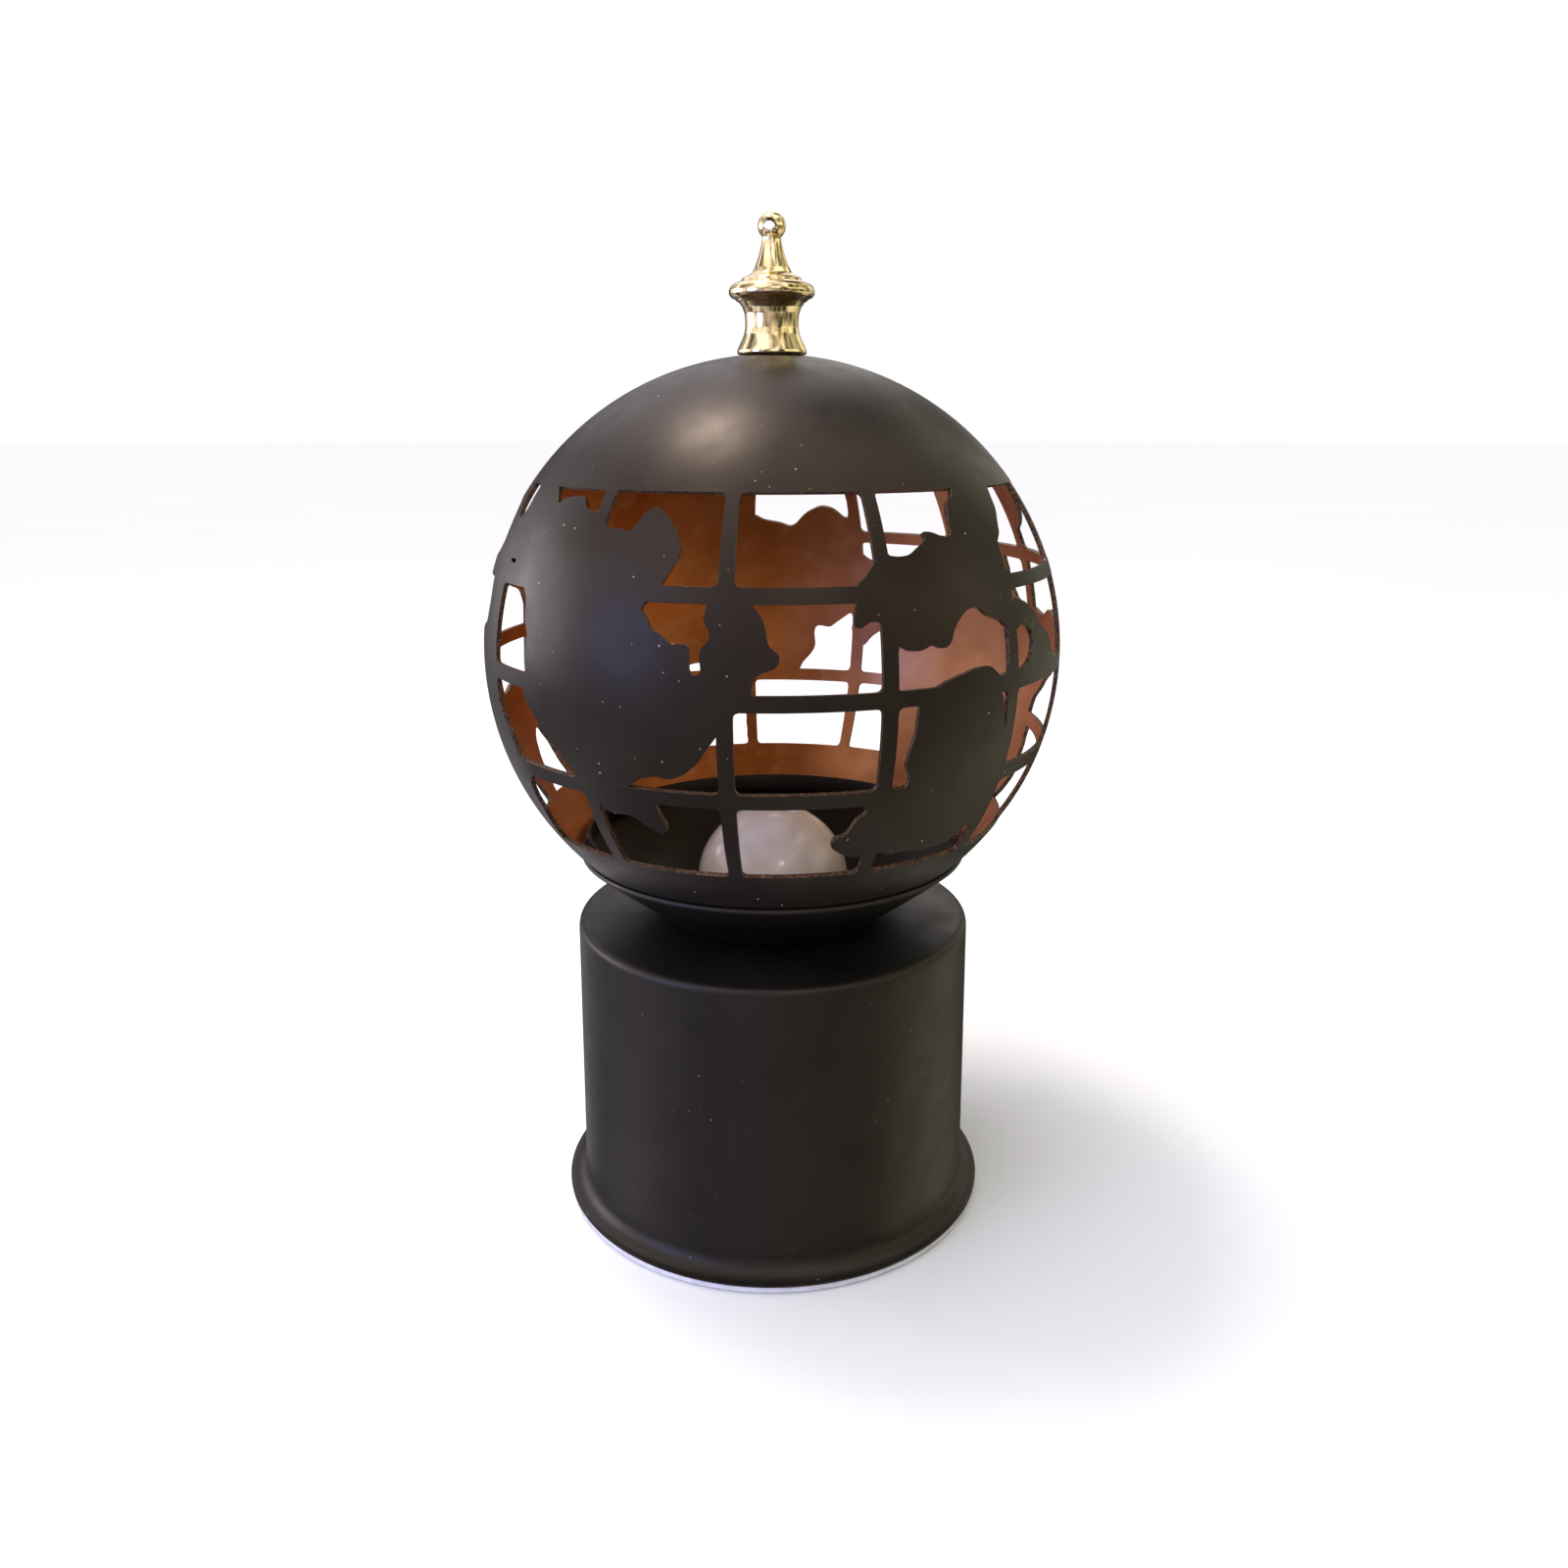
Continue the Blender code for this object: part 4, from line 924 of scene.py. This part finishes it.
def build_screw(node, facing):
    """A pan-head screw with a cross recess, in its node's place. It faces up (1) or down (-1)."""
    low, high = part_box(node)
    x = (low.x + high.x) / 2
    y = (low.y + high.y) / 2
    head = (high.x - low.x) / 2
    shank = head * 0.52
    head_height = 1.6 * MM
    far = low.z if facing > 0 else high.z
    face = high.z if facing > 0 else low.z
    under = face - facing * head_height
    section = [(0.0, face), (head * 0.62, face), (head, face - facing * 0.7 * MM),
               (head, under), (shank, under), (shank, far), (0.0, far)]
    radii = (0.0, 0.6, 0.6, 0.15, 0.0, 0.2, 0.0)
    chain = [(r, z, own * MM) for (r, z), own in zip(section, radii)]
    screw = lathe(node + "_turned", rounded(chain, 0.0, 4), 40, closed=False, centre=(x, y))
    arm = head * 0.55
    half = head * 0.11
    recess_floor = face - facing * 0.9 * MM
    clear_of_face = face + facing * 0.5 * MM
    bottom, top = sorted((recess_floor, clear_of_face))
    cut(screw, block("recess_a", (x - arm, y - half, bottom), (x + arm, y + half, top)))
    cut(screw, block("recess_b", (x - half, y - arm, bottom), (x + half, y + arm, top)))
    smooth(screw)
    stands_for(screw, node, "steel")


# ---------------------------------------------------------------- assembly of the looks

RECORD = frame["record"]
SLOT_OF = {entry["node"]: entry["material_slot"] for entry in RECORD["subparts"]}
BODY_OF = {}
for body, members in RECORD["behaviour"]["bodies"].items():
    for member in members:
        BODY_OF[member] = body

LOOKS = {
    "bronze": satin_paint("bronze_outside", (0.0060, 0.0048, 0.0042), (0.0095, 0.0075, 0.0065),
                          0.38, 0.65, 0.0, (1.0, 0.74, 0.56), 0.32),
    "black": satin_paint("brown_black", (0.0045, 0.0040, 0.0036), (0.0075, 0.0065, 0.0058),
                         0.42, 0.25, 0.0, (1.0, 0.84, 0.70), 0.36),
    "copper": copper_paint("copper_inside"),
    "edge": cut_edge("cut_sheet_edge"),
    "arris": bare_arris("cut_sheet_arris"),
    "brass": plated_metal("polished_brass_look", (0.90, 0.72, 0.42), (0.72, 0.54, 0.27),
                          0.08, 0.10 * MM),
    "spring_brass": plated_metal("spring_brass_look", (0.74, 0.55, 0.27), (0.6, 0.42, 0.2),
                                 0.25, 0.03 * MM),
    "steel": plated_metal("zinc_steel_look", (0.62, 0.62, 0.64), (0.46, 0.46, 0.47), 0.3,
                          0.02 * MM),
    "nickel": plated_metal("nickel_look", (0.74, 0.71, 0.66), (0.6, 0.57, 0.52), 0.2,
                           0.02 * MM),
    "opal": opal_glass("opal_glass_look"),
    "black_plastic": moulded_plastic("black_plastic_look", (0.018, 0.018, 0.019),
                                     (0.026, 0.026, 0.027), 0.55),
    "white_plastic": moulded_plastic("white_plastic_look", (0.76, 0.76, 0.74),
                                     (0.82, 0.82, 0.8), 0.45),
    "board": circuit_board("circuit_board_look"),
    "cell": moulded_plastic("cell_jacket_look", (0.035, 0.05, 0.085), (0.05, 0.07, 0.12),
                            0.3, 1.5 * MM, 0.5),
    "pad": soft_pad("soft_pad_look"),
    "red": moulded_plastic("red_insulation_look", (0.42, 0.02, 0.015), (0.5, 0.03, 0.02), 0.35),
    "black_wire": moulded_plastic("black_insulation_look", (0.02, 0.02, 0.02),
                                  (0.03, 0.03, 0.03), 0.35),
}
LOOK_OF_SLOT = {
    "bronze_finish": "bronze", "black_finish": "black", "polished_brass": "brass",
    "spring_brass": "spring_brass", "zinc_steel": "steel", "nickel_plate": "nickel",
    "frosted_glass": "opal", "black_plastic": "black_plastic",
    "white_plastic": "white_plastic", "circuit_board": "board", "cell_jacket": "cell",
    "soft_pad": "pad", "red_insulation": "red", "black_insulation": "black_wire",
}

for node_name, obj in frame["nodes"].items():
    obj.data.materials.clear()
    obj.data.materials.append(LOOKS[LOOK_OF_SLOT[SLOT_OF[node_name]]])

build_globe()
build_finial()
build_dish()
build_drum()
build_foot_pad()
build_bulb()
for number in (1, 2, 3):
    build_screw(f"dish_screw_{number}", 1)
    build_screw(f"base_plate_screw_{number}", -1)


# ---------------------------------------------------------------- studio and camera

def build_floor():
    """A plain pale floor, left out of reflections."""
    mesh = bpy.data.meshes.new("studio_floor")
    bm = bmesh.new()
    bmesh.ops.create_circle(bm, cap_ends=True, segments=96, radius=12.0)
    bm.to_mesh(mesh)
    bm.free()
    floor = new_piece("studio_floor", mesh)
    floor.location.z = -0.2 * MM
    mat, tree, shader = new_material("floor_paint", (0.64, 0.643, 0.663), 0.9)
    shader.inputs["Specular IOR Level"].default_value = 0.1
    tree.links.new(ramp(tree, noise_field(tree, 0.4, 3.0), (0.3, (0.632, 0.635, 0.655)),
                        (0.7, (0.648, 0.651, 0.671))), shader.inputs["Base Color"])
    floor.data.materials.append(mat)
    floor.visible_glossy = False


def area_light(name, place, target, size, power, colour):
    data = bpy.data.lights.new(name, "AREA")
    data.shape = "RECTANGLE"
    data.size, data.size_y = size
    data.energy = power
    data.color = colour
    light = bpy.data.objects.new(name, data)
    light.location = place
    aim = Vector(target) - Vector(place)
    light.rotation_euler = aim.to_track_quat("-Z", "Y").to_euler()
    bpy.context.scene.collection.objects.link(light)


def build_lights():
    """A soft sky for the shadow, and windows and a lamp for the highlights."""
    sun = bpy.data.lights.new("soft_sky", "SUN")
    sun.energy = 1.9
    sun.angle = math.radians(70)
    sky = bpy.data.objects.new("soft_sky", sun)
    sky.rotation_euler = Vector((0.6, 0.2, -1.0)).to_track_quat("-Z", "Y").to_euler()
    sky.visible_glossy = False
    bpy.context.scene.collection.objects.link(sky)
    middle = (0.0, 0.0, 0.168)
    area_light("window_above", (-0.31, 0.13, 1.27), middle, (0.26, 0.24), 8.5,
               (1.0, 0.93, 0.86))
    area_light("window_left", (-0.92, -0.66, 0.32), middle, (0.45, 0.4), 4.6,
               (0.14, 0.28, 1.0))
    area_light("far_left", (-1.08, 0.24, 0.31), middle, (0.6, 0.5), 3.2, (0.9, 0.92, 1.0))
    area_light("small_lamp", (0.235, -0.74, 0.75), (0.0, 0.0, 0.1), (0.025, 0.025), 0.4,
               (1.0, 0.95, 0.9))


def build_world():
    """White where the camera sees it. In light and reflections it is an uneven room, with a
    bright ceiling and left wall, dimmer below and yellower to the right."""
    world = bpy.data.worlds.new("studio")
    world.use_nodes = True
    tree = world.node_tree
    room = tree.nodes["Background"]
    white = add_node(tree, "Background")
    white.inputs["Color"].default_value = (1.0, 1.0, 1.0, 1.0)
    white.inputs["Strength"].default_value = 1.0
    coords = add_node(tree, "TexCoord")
    split = add_node(tree, "SeparateXYZ")
    tree.links.new(coords.outputs["Generated"], split.inputs["Vector"])
    ceiling = remap(tree, split.outputs["Z"], -0.2, 0.9, 0.42, 1.2)
    left_wall = remap(tree, split.outputs["X"], -1.0, -0.6, 0.6, 0.0)
    right_wall = remap(tree, split.outputs["X"], -0.1, 0.8, 0.0, 0.18)
    walls = combine(tree, "ADD", left_wall, right_wall)
    level = combine(tree, "ADD", ceiling, walls)
    patches = add_node(tree, "TexNoise")
    patches.inputs["Scale"].default_value = 2.1
    patches.inputs["Detail"].default_value = 3.0
    turned = add_node(tree, "Mapping")
    turned.inputs["Location"].default_value = ROOM_OFFSET
    tree.links.new(coords.outputs["Generated"], turned.inputs["Vector"])
    tree.links.new(turned.outputs["Vector"], patches.inputs["Vector"])
    shade = remap(tree, patches.outputs["Fac"], 0.38, 0.6, 0.08, 1.75)
    tree.links.new(combine(tree, "MULTIPLY", level, shade), room.inputs["Strength"])
    side = remap(tree, split.outputs["X"], -0.1, 0.7, 0.0, 1.0)
    tone = mix_colour(tree, side, (0.96, 0.92, 1.0), (0.92, 0.90, 0.66))
    tree.links.new(tone, room.inputs["Color"])
    rays = add_node(tree, "LightPath")
    blend = add_node(tree, "MixShader")
    tree.links.new(rays.outputs["Is Camera Ray"], blend.inputs["Fac"])
    tree.links.new(room.outputs["Background"], blend.inputs[1])
    tree.links.new(white.outputs["Background"], blend.inputs[2])
    tree.links.new(blend.outputs["Shader"], tree.nodes["World Output"].inputs["Surface"])
    bpy.context.scene.world = world


def build_camera():
    """Set back in front, a little above the globe's equator and looking down at the lamp."""
    data = bpy.data.cameras.new("camera")
    data.sensor_width = 36.0
    data.lens = 29.68
    data.shift_y = -0.0677
    data.clip_start = 0.01
    camera = bpy.data.objects.new("camera", data)
    camera.location = (0.00336, -0.37368, 0.23373)
    camera.rotation_euler = (math.radians(78.537), 0.0, 0.0)
    bpy.context.scene.collection.objects.link(camera)
    bpy.context.scene.camera = camera


build_floor()
build_lights()
build_world()
build_camera()
bpy.context.scene.view_settings.view_transform = "Standard"
